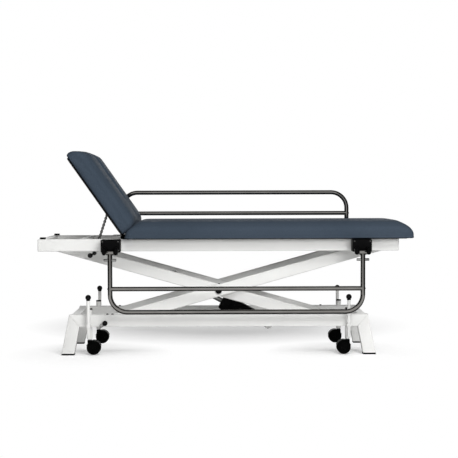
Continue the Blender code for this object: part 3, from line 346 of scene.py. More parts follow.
def rounded_edge_group():
    """Normal that rolls over sharp edges, and a mask along those edges for painting shade on them."""
    tree, start, end = shader_group(
        "rounded_edge", [("Radius", "Float", 0.001)], [("Normal", "Vector"), ("Edge", "Float")])
    bevel = node(tree, "ShaderNodeBevel", samples=6)
    plain = node(tree, "ShaderNodeNewGeometry")
    match = node(tree, "ShaderNodeVectorMath", operation="DOT_PRODUCT")
    mask = node(tree, "ShaderNodeMapRange", {"From Min": 0.99, "From Max": 0.80})
    wire(start, "Radius", bevel, "Radius")
    wire(bevel, "Normal", match, 0)
    wire(plain, "Normal", match, 1)
    wire(match, "Value", mask, "Value")
    wire(bevel, "Normal", end, "Normal")
    wire(mask, "Result", end, "Edge")
    return tree


def leather_grain_group():
    """Pebbled grain of coated fabric: cells with soft valleys, broken up by noise, and a valley mask for
    painted shade.
    """
    tree, start, end = shader_group(
        "leather_grain", [("Scale", "Float", 420.0)], [("Height", "Float"), ("Valley", "Float")])
    place = node(tree, "ShaderNodeTexCoord")
    bend = node(tree, "ShaderNodeTexNoise", {"Scale": 90.0, "Detail": 2.0})
    shift = node(tree, "ShaderNodeMix", {"Factor": 0.012}, data_type="VECTOR")
    cells = node(tree, "ShaderNodeTexVoronoi", feature="SMOOTH_F1")
    valley = node(tree, "ShaderNodeMapRange", {"From Min": 0.30, "From Max": 0.75})
    raise_up = node(tree, "ShaderNodeMath", {0: 1.0}, operation="SUBTRACT")
    wire(place, "Object", bend, "Vector")
    wire(place, "Object", shift, "A")
    wire(bend, "Color", shift, "B")
    wire(shift, "Result", cells, "Vector")
    wire(start, "Scale", cells, "Scale")
    wire(cells, "Distance", valley, "Value")
    wire(valley, "Result", raise_up, 1)
    wire(raise_up, "Value", end, "Height")
    wire(valley, "Result", end, "Valley")
    return tree


GRAINED_SURFACE = grained_surface_group()
ROUNDED_EDGE = rounded_edge_group()
LEATHER_GRAIN = leather_grain_group()


def placed_group(tree, group, values):
    item = node(tree, "ShaderNodeGroup", node_tree=group)
    for key, value in values.items():
        item.inputs[key].default_value = value
    return item


def finish_material(name, colour, second, grain, gloss, bump, constants, edge=0.0, edge_shade_colour=None):
    """Principled material from the shared groups.

    grain is the blotch and grain scale, gloss the smooth and dull roughness, bump the strength
    and height.
    """
    material = bpy.data.materials.new(name)
    material.use_nodes = True
    tree = material.node_tree
    shader = tree.nodes["Principled BSDF"]
    for key, value in constants.items():
        shader.inputs[key].default_value = value
    surface = placed_group(tree, GRAINED_SURFACE, {
        "Colour": (*colour, 1), "Second Colour": (*second, 1), "Blotch Scale": grain[0],
        "Grain Scale": grain[1], "Smooth Roughness": gloss[0], "Dull Roughness": gloss[1]})
    relief = node(tree, "ShaderNodeBump", {"Strength": bump[0], "Distance": bump[1]})
    link = tree.links.new
    wire(surface, "Height", relief, "Height")
    wire(surface, "Roughness", shader, "Roughness")
    wire(relief, "Normal", shader, "Normal")
    top_colour = surface.outputs["Colour"]
    if edge:
        rim = placed_group(tree, ROUNDED_EDGE, {"Radius": edge})
        wire(rim, "Normal", relief, "Normal")
        if edge_shade_colour:
            # Painted shade: sharp edges are mixed towards the darker edge colour
            edge_shade = node(tree, "ShaderNodeMix", data_type="RGBA")
            edge_shade.inputs["B"].default_value = (*edge_shade_colour, 1)
            wire(rim, "Edge", edge_shade, "Factor")
            link(top_colour, edge_shade.inputs["A"])
            top_colour = edge_shade.outputs["Result"]
    link(top_colour, shader.inputs["Base Color"])
    return material


def leatherette_material():
    """Slate-blue coated fabric with a pebbled grain, painted shade in the grain's valleys and a soft sheen.
    """
    material = finish_material(
        "slate_leatherette", (0.048, 0.064, 0.086), (0.042, 0.057, 0.077), (3.0, 900.0), (0.50, 0.60),
        (0.06, 0.0004), {"Specular IOR Level": 0.05, "Sheen Weight": 0.01, "Sheen Roughness": 0.4})
    tree = material.node_tree
    shader = tree.nodes["Principled BSDF"]
    fine = next(item for item in tree.nodes if item.type == "BUMP")
    grain = placed_group(tree, LEATHER_GRAIN, {"Scale": 420.0})
    pebble = node(tree, "ShaderNodeBump", {"Strength": 0.16, "Distance": 0.0006})
    # Painted shade: the grain's valleys darken the base colour
    valley_shade = node(tree, "ShaderNodeMix", data_type="RGBA", blend_type="MULTIPLY")
    valley_shade.inputs["B"].default_value = (0.80, 0.81, 0.83, 1)
    link = tree.links.new
    wire(grain, "Height", pebble, "Height")
    wire(fine, "Normal", pebble, "Normal")
    wire(pebble, "Normal", shader, "Normal")
    old = shader.inputs["Base Color"].links[0].from_socket
    wire(grain, "Valley", valley_shade, "Factor")
    link(old, valley_shade.inputs["A"])
    wire(valley_shade, "Result", shader, "Base Color")
    return material


# White powder coat; its edge colour is painted shade along the sharp edges
POWDER_COAT = finish_material(
    "white_powder_coat", (0.80, 0.80, 0.785), (0.77, 0.77, 0.755), (5.0, 1400.0), (0.36, 0.46),
    (0.05, 0.0003), {"Specular IOR Level": 0.45}, edge=0.0015, edge_shade_colour=(0.72, 0.72, 0.70))
CHROME_TUBE = finish_material(
    "chrome_tube", (0.24, 0.233, 0.222), (0.20, 0.194, 0.185), (14.0, 300.0), (0.06, 0.13), (0.02, 0.0002),
    {"Metallic": 1.0, "Specular Tint": (0.30, 0.30, 0.30, 1)})
BARE_STEEL = finish_material(
    "bare_steel", (0.42, 0.42, 0.41), (0.34, 0.34, 0.335), (30.0, 900.0), (0.26, 0.40), (0.06, 0.0002),
    {"Metallic": 1.0}, edge=0.0008)
BLACK_PLASTIC = finish_material(
    "black_moulded_plastic", (0.0015, 0.0015, 0.0016), (0.003, 0.003, 0.0032), (24.0, 1100.0),
    (0.40, 0.55), (0.10, 0.0003), {"Specular IOR Level": 0.05}, edge=0.001)
BLACK_GLOSS = finish_material(
    "black_knob_gloss", (0.002, 0.002, 0.0022), (0.004, 0.004, 0.0042), (40.0, 500.0), (0.12, 0.22),
    (0.02, 0.0002), {"Specular IOR Level": 0.20})
BLACK_RUBBER = finish_material(
    "black_rubber", (0.0015, 0.0015, 0.0015), (0.003, 0.003, 0.003), (35.0, 700.0), (0.62, 0.80),
    (0.14, 0.0004), {"Specular IOR Level": 0.04}, edge=0.001)
# Dark board colour, also used for the dark sheets of painted shade under the cushions
DARK_BOARD_AND_SHADE = finish_material(
    "dark_board_and_painted_shade", (0.012, 0.012, 0.013), (0.020, 0.019, 0.019), (18.0, 800.0), (0.65, 0.85), (0.12, 0.0004),
    {"Specular IOR Level": 0.25})
ZINC_SCREW = finish_material(
    "zinc_screw", (0.18, 0.18, 0.175), (0.14, 0.14, 0.137), (60.0, 900.0), (0.22, 0.36), (0.05, 0.0002),
    {"Metallic": 1.0})
DARK_STEEL = finish_material(
    "dark_steel", (0.34, 0.34, 0.332), (0.25, 0.25, 0.244), (40.0, 900.0), (0.30, 0.45), (0.06, 0.0002),
    {"Metallic": 1.0, "Specular Tint": (0.30, 0.30, 0.30, 1)})
LEATHERETTE = leatherette_material()


# Modelling helpers

def shade(mesh, angle=32):
    mesh.shade_smooth()
    mesh.set_sharp_from_angle(angle=math.radians(angle))


def mesh_piece(name, bm, angle=32):
    mesh = bpy.data.meshes.new(name)
    bmesh.ops.recalc_face_normals(bm, faces=bm.faces)
    bm.to_mesh(mesh)
    bm.free()
    shade(mesh, angle)
    piece = bpy.data.objects.new(name, mesh)
    SCENE.collection.objects.link(piece)
    return piece


def dress(piece, material, body, slot, *nodes):
    """Give a piece its material and the body that carries it, and hide the nodes that it stands for. The slot
    argument is not used.
    """
    piece.data.materials.clear()
    piece.data.materials.append(material)
    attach(piece, body)
    if nodes:
        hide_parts(*nodes)
    return piece


def axis_frame(origin, axis):
    """Matrix that puts local +Z along an axis at a place."""
    turn = Z_AXIS.rotation_difference(Vector(axis)).to_matrix().to_4x4()
    return Matrix.Translation(origin) @ turn


def round_and_place(bm, edges, verts, edge, segments, place):
    """Round some edges of a new form, then move the whole form."""
    if edge:
        rounded = bmesh.ops.bevel(bm, geom=edges, offset=edge, segments=segments, profile=0.5,
                                  affect="EDGES")
        verts = list({*[v for v in verts if v.is_valid], *rounded["verts"]})
    bmesh.ops.transform(bm, matrix=place, verts=verts)


def add_block(bm, size, centre, edge, place=Matrix.Identity(4), segments=3):
    """Block with rounded edges."""
    form = Matrix.Translation(centre) @ Matrix.Diagonal((*size, 1))
    verts = bmesh.ops.create_cube(bm, size=1.0, matrix=form)["verts"]
    edges = list({line for vert in verts for line in vert.link_edges})
    round_and_place(bm, edges, verts, edge, segments, place)


def add_turned(bm, profile, origin, axis, sides=40):
    """Turned solid: profile is radius and height along the axis, from one end to the other."""
    place = axis_frame(origin, axis)
    rings = []
    for radius, height in profile:
        if radius <= 0:
            rings.append([bm.verts.new(place @ Vector((0, 0, height)))])
            continue
        turn = [2 * math.pi * step / sides for step in range(sides)]
        rings.append([bm.verts.new(place @ Vector((radius * math.cos(a), radius * math.sin(a), height)))
                      for a in turn])
    for low, high in zip(rings, rings[1:]):
        for step in range(sides):
            after = (step + 1) % sides
            loop = [low[step % len(low)], low[after % len(low)],
                    high[after % len(high)], high[step % len(high)]]
            corners = list(dict.fromkeys(loop))
            if len(corners) > 2:
                bm.faces.new(corners)


def rod_profile(radius, length, edge):
    """Profile of a plain rod with rounded ends."""
    part = edge * 0.3
    return [(0, 0), (radius - edge, 0), (radius - part, part), (radius, edge), (radius, length - edge),
            (radius - part, length - part), (radius - edge, length), (0, length)]


def ring_profile(bore, radius, length, edge):
    """Closed profile of a sleeve or an eye."""
    return [(bore, 0), (radius - edge, 0), (radius, edge), (radius, length - edge), (radius - edge, length),
            (bore, length), (bore, 0)]


def dome_profile(radius, height, steps=7):
    """Profile of a shallow dome on a flat base."""
    turns = [math.pi / 2 * step / steps for step in range(steps)]
    return [(0, 0), *[(radius * math.cos(a), height * math.sin(a)) for a in turns], (0, height)]


def add_rod(bm, start, end, radius, edge=SMALL_EDGE, sides=40):
    span = Vector(end) - Vector(start)
    add_turned(bm, rod_profile(radius, span.length, edge), Vector(start), span, sides)


def add_ball(bm, centre, radius, steps=18):
    turns = [math.pi * step / steps for step in range(1, steps)]
    arc = [(radius * math.sin(a), -radius * math.cos(a)) for a in turns]
    add_turned(bm, [(0, -radius), *arc, (0, radius)], centre, Z_AXIS, 32)


def add_slab(bm, outline, low, high, edge, place=Matrix.Identity(4), sharp=(), segments=3):
    """Outline in X and Z pushed out along Y, with its long edges rounded."""
    front = [bm.verts.new((x, low, z)) for x, z in outline]
    back = [bm.verts.new((x, high, z)) for x, z in outline]
    count = len(outline)
    bm.faces.new(front)
    bm.faces.new(list(reversed(back)))
    rims = []
    for step in range(count):
        after = (step + 1) % count
        bm.faces.new((front[after], front[step], back[step], back[after]))
        if step not in sharp:
            rims.append(bm.edges.get((front[step], front[after])))
            rims.append(bm.edges.get((back[step], back[after])))
    round_and_place(bm, rims, front + back, edge, segments, place)


def add_tube(bm, points, radius, sides=28):
    """Round tube along a flat path, with its ends closed."""
    points = [Vector(point) for point in points]
    rings = []
    for index, point in enumerate(points):
        before = points[max(index - 1, 0)]
        after = points[min(index + 1, len(points) - 1)]
        forward = (after - before).normalized()
        out = Y_AXIS
        up = forward.cross(out).normalized()
        turn = [2 * math.pi * step / sides for step in range(sides)]
        rings.append([bm.verts.new(point + radius * (math.cos(a) * out + math.sin(a) * up))
                      for a in turn])
    for low, high in zip(rings, rings[1:]):
        for step in range(sides):
            after = (step + 1) % sides
            bm.faces.new((low[step], low[after], high[after], high[step]))
    bm.faces.new(rings[0])
    bm.faces.new(list(reversed(rings[-1])))


def arc_points(centre, start_way, end_way, radius, steps=14):
    """Quarter arc from one direction to another round a centre."""
    points = []
    for step in range(steps + 1):
        angle = math.pi / 2 * step / steps
        points.append(centre + radius * (math.cos(angle) * start_way + math.sin(angle) * end_way))
    return points


# Base

def base_outline():
    """Corner points of one base side: top and underside of the mitre, and the foot of the leg."""
    lean = LEG_SPLAY / (BASE_TOP - FOOT_PAD_HEIGHT)
    under = BASE_TOP - TUBE_DEPTH

    def outer(z):
        return BASE_HALF_LENGTH + lean * (BASE_TOP - z)

    top = (outer(BASE_TOP), BASE_TOP)
    inside = (outer(under) - LEG_WIDTH, under)
    foot = (outer(FOOT_PAD_HEIGHT), outer(FOOT_PAD_HEIGHT) - LEG_WIDTH)
    return top, inside, foot


def stem_centre(corner):
    low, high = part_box("caster_stem_" + corner)
    return (low + high) / 2


def base_side(label, side):
    """Rail with mitred legs, roller track and the sleeves of the casters."""
    top, inside, foot = base_outline()
    low, high = sorted((side * BASE_OUTER_Y, side * (BASE_OUTER_Y - BASE_TUBE_WIDTH)))
    move = Matrix.Translation((CENTRE.x, 0, 0))
    bm = bmesh.new()
    rail = [(-top[0] + MITRE_GAP, top[1]), (top[0] - MITRE_GAP, top[1]),
            (inside[0] - MITRE_GAP, inside[1]), (-inside[0] + MITRE_GAP, inside[1])]
    add_slab(bm, rail, low, high, TUBE_CORNER, move, sharp=(1, 3))
    for end, way in ENDS:
        leg = [(way * top[0], top[1]), (way * foot[0], FOOT_PAD_HEIGHT),
               (way * foot[1], FOOT_PAD_HEIGHT), (way * inside[0], inside[1])]
        add_slab(bm, leg, low, high, TUBE_CORNER, move, sharp=(1, 3))
    roller = pivot("lower_roll")
    track_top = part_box("lower_wheelset")[0].z
    track_y = side * (BASE_OUTER_Y - BASE_TUBE_WIDTH - TRACK_SIZE[1] / 2)
    add_block(bm, TRACK_SIZE, (roller.x, track_y, track_top - TRACK_SIZE[2] / 2), SMALL_EDGE)
    sleeve = ring_profile(SLEEVE_BORE, SLEEVE_RADIUS, SLEEVE_TOP - SLEEVE_BOTTOM, SMALL_EDGE)
    for end, way in ENDS:
        centre = stem_centre(end + "_" + label)
        add_turned(bm, sleeve, (centre.x, centre.y, SLEEVE_BOTTOM), Z_AXIS)
    piece = mesh_piece("base_frame_side_" + label, bm)
    dress(piece, POWDER_COAT, "base", "white_paint", "base_side_" + label)


def sleeve_cap(corner):
    """Moulded cap on top of a caster sleeve."""
    centre = stem_centre(corner)
    radius = SLEEVE_RADIUS + SLEEVE_CAP_RIM
    shoulder, top, crown = SLEEVE_CAP_SHARES
    profile = [(0, SLEEVE_CAP_GAP), (radius, SLEEVE_CAP_GAP), (radius, SLEEVE_CAP_HEIGHT * shoulder),
               (radius * top, SLEEVE_CAP_HEIGHT), (0, SLEEVE_CAP_HEIGHT * crown)]
    bm = bmesh.new()
    add_turned(bm, profile, (centre.x, centre.y, SLEEVE_TOP), Z_AXIS)
    piece = mesh_piece("sleeve_cap_" + corner, bm)
    dress(piece, BLACK_PLASTIC, "base", "black_plastic")


def rubber_block(name, body, node_name, edge, segments=3):
    """Rubber foot or buffer with rounded edges, as large as the node it stands for."""
    low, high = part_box(node_name)
    bm = bmesh.new()
    add_block(bm, high - low, (low + high) / 2, edge, segments=segments)
    dress(mesh_piece(name, bm), BLACK_RUBBER, body, "black_rubber", node_name)


def rail_bolts(label, side):
    """Black bolt heads on top of a base rail."""
    y = side * (BASE_OUTER_Y - BASE_TUBE_WIDTH / 2)
    bm = bmesh.new()
    for x in RAIL_BOLTS:
        place = Vector((CENTRE.x + x, y, BASE_TOP - RAIL_BOLT_SINK))
        add_turned(bm, RAIL_BOLT_PROFILE, place, Z_AXIS, 24)
    piece = mesh_piece("rail_bolts_" + label, bm)
    dress(piece, BLACK_PLASTIC, "base", "black_plastic")


# Casters and levers

def caster_fork(corner):
    """Hood over a twin wheel: arched shell, centre web and the boss of the stem."""
    swivel = pivot("fork_{}_swivel".format(corner))
    hub = pivot("wheel_{}_roll".format(corner))
    steps = 40
    turns = [HOOD_OPENING + (math.pi - 2 * HOOD_OPENING) * step / steps for step in range(steps + 1)]

    def arch(radius):
        return [(hub.x + radius * math.cos(a), hub.z + radius * math.sin(a)) for a in turns]

    inside = arch(HOOD_RADIUS - HOOD_WALL)
    shell = arch(HOOD_RADIUS) + inside[::-1]
    foot, drop = WEB_FOOT
    web = inside + [(hub.x - foot, hub.z - drop), (hub.x + foot, hub.z - drop)]
    bm = bmesh.new()
    add_slab(bm, shell, hub.y - HOOD_WIDTH / 2, hub.y + HOOD_WIDTH / 2, HOOD_EDGE, segments=2)
    add_slab(bm, web, hub.y - HOOD_WEB / 2, hub.y + HOOD_WEB / 2, 0.0)
    add_rod(bm, swivel - FORK_BOSS_DROP * Z_AXIS, swivel, FORK_BOSS_RADIUS, ROD_EDGE)
    piece = mesh_piece("caster_hood_" + corner, bm)
    dress(piece, BLACK_PLASTIC, "fork_" + corner, "black_plastic", "caster_fork_" + corner)


def caster_wheel(corner):
    """Twin wheel with rounded treads, dished faces and hub caps."""
    hub = pivot("wheel_{}_roll".format(corner))
    inner = HOOD_WEB / 2 + WHEEL_GAP
    width = HOOD_WIDTH / 2 - inner
    radius = WHEEL_RADIUS
    tread = [(0, 0), (radius - 0.003, 0), (radius - 0.0008, 0.0016), (radius, 0.004),
             (radius, width - 0.005), (radius - 0.0012, width - 0.002), (radius - 0.004, width)]
    face_and_cap = [(radius * 0.76, width), (radius * 0.70, width - 0.0028), (radius * 0.36, width - 0.0022),
                    (radius * 0.32, width - 0.0004), (radius * 0.12, width), (0, width)]
    bm = bmesh.new()
    for face in (-1, 1):
        add_turned(bm, tread + face_and_cap, hub + face * inner * Y_AXIS, face * Y_AXIS, 56)
    add_rod(bm, hub - inner * Y_AXIS, hub + inner * Y_AXIS, WHEEL_AXLE_RADIUS)
    piece = mesh_piece("caster_tread_" + corner, bm)
    dress(piece, BLACK_RUBBER, "wheel_" + corner, "black_rubber", "caster_wheel_" + corner)


def caster_lever(corner, side):
    """Painted lever rod with its pivot boss, and the black ball on its end."""
    turn = pivot("lever_{}_turn".format(corner))
    line = turn + side * LEVER_OUT * Y_AXIS
    top = (line.x, line.y, LEVER_BALL_Z - LEVER_BALL_SEAT)
    bm = bmesh.new()
    add_rod(bm, (line.x, line.y, LEVER_BOTTOM), top, LEVER_RADIUS, ROD_EDGE)
    add_rod(bm, turn, turn + side * (LEVER_OUT + LEVER_RADIUS) * Y_AXIS, LEVER_BOSS_RADIUS, ROD_EDGE)
    rod = mesh_piece("lift_lever_" + corner, bm)
    dress(rod, POWDER_COAT, "lever_" + corner, "white_paint", "caster_lever_" + corner)
    bm = bmesh.new()
    add_ball(bm, Vector((line.x, line.y, LEVER_BALL_Z)), LEVER_BALL_RADIUS)
    add_rod(bm, (line.x, line.y, LEVER_BALL_Z - LEVER_COLLAR_END), top, LEVER_RADIUS + LEVER_COLLAR_WALL)
    knob = mesh_piece("lever_knob_" + corner, bm)
    dress(knob, BLACK_GLOSS, "lever_" + corner, "black_plastic")


def small_lever(name, joint, ball, hub, body, node_name, material, slot):
    """Short hand lever: a hub with a thin rod, and the black ball on its end.

    ball is its place from the joint and its radius, hub its radius and its two ends along +Y.
    """
    turn = pivot(joint)
    end = turn + Vector(ball[0])
    bm = bmesh.new()
    add_rod(bm, turn + hub[1] * Y_AXIS, turn + hub[2] * Y_AXIS, hub[0], SMALL_HUB_EDGE)
    add_rod(bm, turn + ball[0][1] * Y_AXIS, end, SMALL_LEVER_RADIUS, SMALL_LEVER_EDGE, 20)
    arm = mesh_piece(name + "_arm", bm)
    dress(arm, material, body, slot, node_name)
    bm = bmesh.new()
    add_ball(bm, end, ball[1])
    knob = mesh_piece(name + "_knob", bm)
    dress(knob, BLACK_GLOSS, body, "black_plastic")


# Lift

def lift_motor():
    """Motor housing with a front collar, a parting groove and a tapered gear case."""
    rear = pivot("motor_tilt")
    toward = pivot("rod_tilt") - rear
    angle = math.atan2(toward.z, -toward.x)
    place = Matrix.Translation(rear) @ Matrix.Rotation(angle, 4, "Y") @ Matrix.Rotation(math.pi, 4, "Z")
    start, end = MOTOR_HOUSING
    width, depth = MOTOR_SECTION
    gap, sunk = MOTOR_GROOVE
    split = start + (end - start) * MOTOR_SPLIT
    core = (end - start - 2 * sunk, width - sunk, depth - sunk)
    neck = start + sunk
    bm = bmesh.new()
    collar = end - split - gap
    add_block(bm, (split - start, width, depth), ((start + split) / 2, 0, 0), MOTOR_EDGE, place, 4)
    add_block(bm, (collar, width, depth), ((end + split + gap) / 2, 0, 0), MOTOR_COLLAR_EDGE, place, 4)
    add_block(bm, core, ((start + end) / 2, 0, 0), MOTOR_COLLAR_EDGE, place)
    add_block(bm, (neck, *MOTOR_NECK), (neck / 2, 0, 0), MOTOR_NECK_EDGE, place)
    add_block(bm, MOTOR_GEAR_CASE, (start - MOTOR_GEAR_CASE_BACK, 0, 0), MOTOR_GEAR_CASE_EDGE, place)
    eye = rear - MOTOR_EYE_HALF * Y_AXIS
    add_rod(bm, eye, eye + 2 * MOTOR_EYE_HALF * Y_AXIS, MOTOR_EYE_RADIUS, ROD_EDGE)
    piece = mesh_piece("motor_housing", bm)
    dress(piece, BLACK_PLASTIC, "motor", "black_plastic", "lift_motor")


def lift_rod():
    """Steel push rod with its eye on the arm tie."""
    eye = pivot("rod_tilt")
    rear = pivot("motor_tilt")
    way = (rear - eye).normalized()
    reach = (rear - eye).length - ROD_END_FROM_MOTOR
    bm = bmesh.new()
    add_rod(bm, eye + ROD_START * way, eye + reach * way, ROD_RADIUS)
    add_turned(bm, ring_profile(ROD_EYE_BORE, ROD_EYE_RADIUS, 2 * ROD_EYE_HALF, ROD_EDGE),
               eye - ROD_EYE_HALF * Y_AXIS, Y_AXIS)
    piece = mesh_piece("push_rod", bm)
    dress(piece, BARE_STEEL, "motor_rod", "bare_steel", "lift_rod")


def pivot_caps():
    """Domed heads of the centre pivot."""
    bm = bmesh.new()
    for face, depth in ((-1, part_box("centre_pin_near")[0].y), (1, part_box("centre_pin_far")[1].y)):
        centre = Vector((CENTRE.x, depth - face * PIVOT_HEAD_SINK, CENTRE.z))
        add_turned(bm, dome_profile(*PIVOT_HEAD), centre, face * Y_AXIS)
    piece = mesh_piece("centre_pivot_caps", bm)
    dress(piece, BLACK_PLASTIC, "outer_arms", "black_plastic")


def arm_plugs():
    """Closing plugs in the ends of the four scissor arms."""
    size = (PLUG_LENGTH, ARM_SECTION[0] - PLUG_WALLS, ARM_SECTION[1] - PLUG_WALLS)
    for body, rise, node_stem in (("outer_arms", 1, "outer_arm_"), ("inner_arms", -1, "inner_arm_")):
        for label, side in SIDES:
            low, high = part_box(node_stem + label)
            place = Matrix.Translation((CENTRE.x, (low.y + high.y) / 2, CENTRE.z))
            place = place @ Matrix.Rotation(-rise * ARM_ANGLE, 4, "Y")
            bm = bmesh.new()
            for reach in (-LOWER_ARM_END, UPPER_ARM_END):
                along = rise * reach
                add_block(bm, size, (along - math.copysign(PLUG_SINK, along), 0, 0), PLUG_EDGE, place)
            piece = mesh_piece("{}plugs_{}".format(node_stem, label), bm)
            dress(piece, POWDER_COAT, body, "white_paint")


# Top frame

def rail_plugs():
    """End plugs of the frame rails."""
    size = (PLUG_LENGTH, FRAME_TUBE_WIDTH - PLUG_WALLS, TUBE_DEPTH - PLUG_WALLS)
    for label, side in SIDES:
        low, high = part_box("frame_rail_" + label)
        y = side * (BRACKET_INNER_Y - FRAME_TUBE_WIDTH / 2)
        z = high.z - TUBE_DEPTH / 2
        bm = bmesh.new()
        for x in (low.x + RAIL_PLUG_SINK, high.x - RAIL_PLUG_SINK):
            add_block(bm, size, (x, y, z), PLUG_EDGE)
        piece = mesh_piece("rail_plugs_" + label, bm)
        dress(piece, POWDER_COAT, "top_frame", "white_paint")


def guard_bracket(corner, label, side):
    """Moulded guard bearing on the rail, with two ears, its pin and four screws."""
    node_name = "guard_bracket_" + corner
    low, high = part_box(node_name)
    turn = pivot("guard_{}_flip".format(label))
    x = (low.x + high.x) / 2
    width = high.x - low.x
    inner = side * (BRACKET_INNER_Y + BRACKET_GAP)
    outer = side * BRACKET_OUTER_Y
    body = (width, abs(outer - inner), BRACKET_HEIGHT)
    radius = BRACKET_EAR_RADIUS
    ear_x = (PIVOT_SLEEVE_LENGTH + 2 * BRACKET_GAP + BRACKET_EAR_WIDTH) / 2
    reach = abs(turn.y - outer) + BRACKET_EAR_ROOT
    ear = (BRACKET_EAR_WIDTH, reach + radius, 3 * radius)
    bm = bmesh.new()
    add_block(bm, body, (x, (inner + outer) / 2, turn.z + BRACKET_HEIGHT / 2), BRACKET_EDGE, segments=4)
    for face in (-1, 1):
        centre = Vector((x + face * ear_x, turn.y, turn.z))
        centre += Vector((0, side * (radius - reach) / 2, radius / 2))
        add_block(bm, ear, centre, BRACKET_EAR_EDGE, segments=6)
    piece = mesh_piece("guard_bearing_" + corner, bm)
    dress(piece, BLACK_PLASTIC, "top_frame", "black_plastic", node_name)
    bm = bmesh.new()
    pin = PIVOT_SLEEVE_LENGTH / 2 + BRACKET_EAR_WIDTH + BRACKET_PIN_PROUD
    add_rod(bm, (x - pin, turn.y, turn.z), (x + pin, turn.y, turn.z), BRACKET_PIN_RADIUS, sides=24)
    for across in (-1, 1):
        for up in (SCREW_LOW, BRACKET_HEIGHT - SCREW_INSET):
            head = Vector((x + across * (width / 2 - SCREW_INSET), outer, turn.z + up))
            add_turned(bm, dome_profile(*SCREW_HEAD), head - side * BRACKET_GAP * Y_AXIS, side * Y_AXIS, 24)
    screws = mesh_piece("bearing_screws_" + corner, bm)
    dress(screws, ZINC_SCREW, "top_frame", "bare_steel")


def side_guard(label, hang):
    """Chrome guard: bent outer tube, middle bar with rivets and pivot sleeves, and its steel stops."""
    turn = pivot("guard_{}_flip".format(label))
    down = hang * Z_AXIS
    half = GUARD_HALF_LENGTH * X_AXIS
    end_bar = turn + GUARD_END_BAR * down
    bend = GUARD_BEND_RADIUS
    path = [turn - half]
    path += arc_points(end_bar - half + bend * (X_AXIS - down), -X_AXIS, down, bend)
    path += arc_points(end_bar + half - bend * (X_AXIS + down), down, X_AXIS, bend)
    path.append(turn + half)
    bm = bmesh.new()
    add_tube(bm, path, GUARD_RADIUS)
    middle = turn + GUARD_MID_BAR * down
    add_tube(bm, [middle - half, middle + half], GUARD_MID_RADIUS)
    for face in (-1, 1):
        foot = turn + face * half
        start = foot - PIVOT_SLEEVE_LENGTH / 2 * X_AXIS
        add_rod(bm, start, start + PIVOT_SLEEVE_LENGTH * X_AXIS, GUARD_RADIUS + GUARD_SLEEVE_WALL,
                GUARD_SLEEVE_EDGE)
        rivet = middle + face * half + face * (GUARD_RADIUS - RIVET_SINK) * X_AXIS
        add_turned(bm, dome_profile(*RIVET_HEAD), rivet, face * X_AXIS, 24)
    piece = mesh_piece("guard_rail_" + label, bm)
    dress(piece, CHROME_TUBE, "guard_" + label, "chrome", "side_guard_" + label)
    bm = bmesh.new()
    for face in (-1, 1):
        stop = turn + face * half + GUARD_STOP_DROP * down
        reach = GUARD_STOP_LENGTH / 2 * X_AXIS
        add_rod(bm, stop - reach, stop + reach, GUARD_STOP_RADIUS, GUARD_STOP_EDGE, 24)
    stops = mesh_piece("guard_stops_" + label, bm)
    dress(stops, BARE_STEEL, "guard_" + label, "bare_steel")


def hinge_knuckles():
    """Black knuckles on the ends of the backrest hinge."""
    centre = pivot("recline")
    low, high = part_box("hinge_shaft")
    bm = bmesh.new()
    for face, end in ((-1, low.y), (1, high.y)):
        start = Vector((centre.x, end - face * KNUCKLE_LENGTH, centre.z))
        add_rod(bm, start, Vector((centre.x, end, centre.z)), KNUCKLE_RADIUS, KNUCKLE_EDGE)
    piece = mesh_piece("hinge_knuckles", bm)
    dress(piece, BLACK_PLASTIC, "top_frame", "black_plastic")


def lock_strut():
    """Rod of the backrest lock with a row of grooves, its eye and its pin."""
    top = pivot("lock_rod_swing")
    way = (pivot("lock_swing") - top).normalized()
    length = STRUT_LENGTH
    radius = STRUT_RADIUS
    waist = radius - STRUT_GROOVE_DEPTH
    profile = [(0, 0), (radius - SMALL_EDGE, 0), (radius, SMALL_EDGE)]
    for step in range(STRUT_GROOVES):
        start = STRUT_GROOVE_START + step * STRUT_GROOVE_PITCH
        floor = start + STRUT_GROOVE_SLOPE
        rise = floor + STRUT_GROOVE_FLOOR
        profile += [(radius, start), (waist, floor), (waist, rise), (radius, rise + STRUT_GROOVE_SLOPE)]
    profile += [(radius, length - SMALL_EDGE), (radius - SMALL_EDGE, length), (0, length)]
    bm = bmesh.new()
    add_turned(bm, profile, top, way, 32)
    for (size, half), sides in ((STRUT_EYE, 40), (STRUT_PIN, 24)):
        add_rod(bm, top - half * Y_AXIS, top + half * Y_AXIS, size, sides=sides)
    piece = mesh_piece("lock_strut", bm)
    dress(piece, DARK_STEEL, "back_lock_rod", "bare_steel", "lock_rod")


# Cushions

def end_rise(distance, reach, lift, power):
    """Share of the height that the top has at a distance from a cushion's rounded end."""
    if distance >= reach:
        return 1.0
    return lift + (1 - lift) * (1 - (1 - distance / reach) ** power) ** (1 / power)


def end_tuck(distance, reach, lift):
    """Share of the height at which the underside lies near a cushion's end."""
    if distance >= reach:
        return 0.0
    return lift * (1 - math.sqrt(1 - (1 - distance / reach) ** 2))


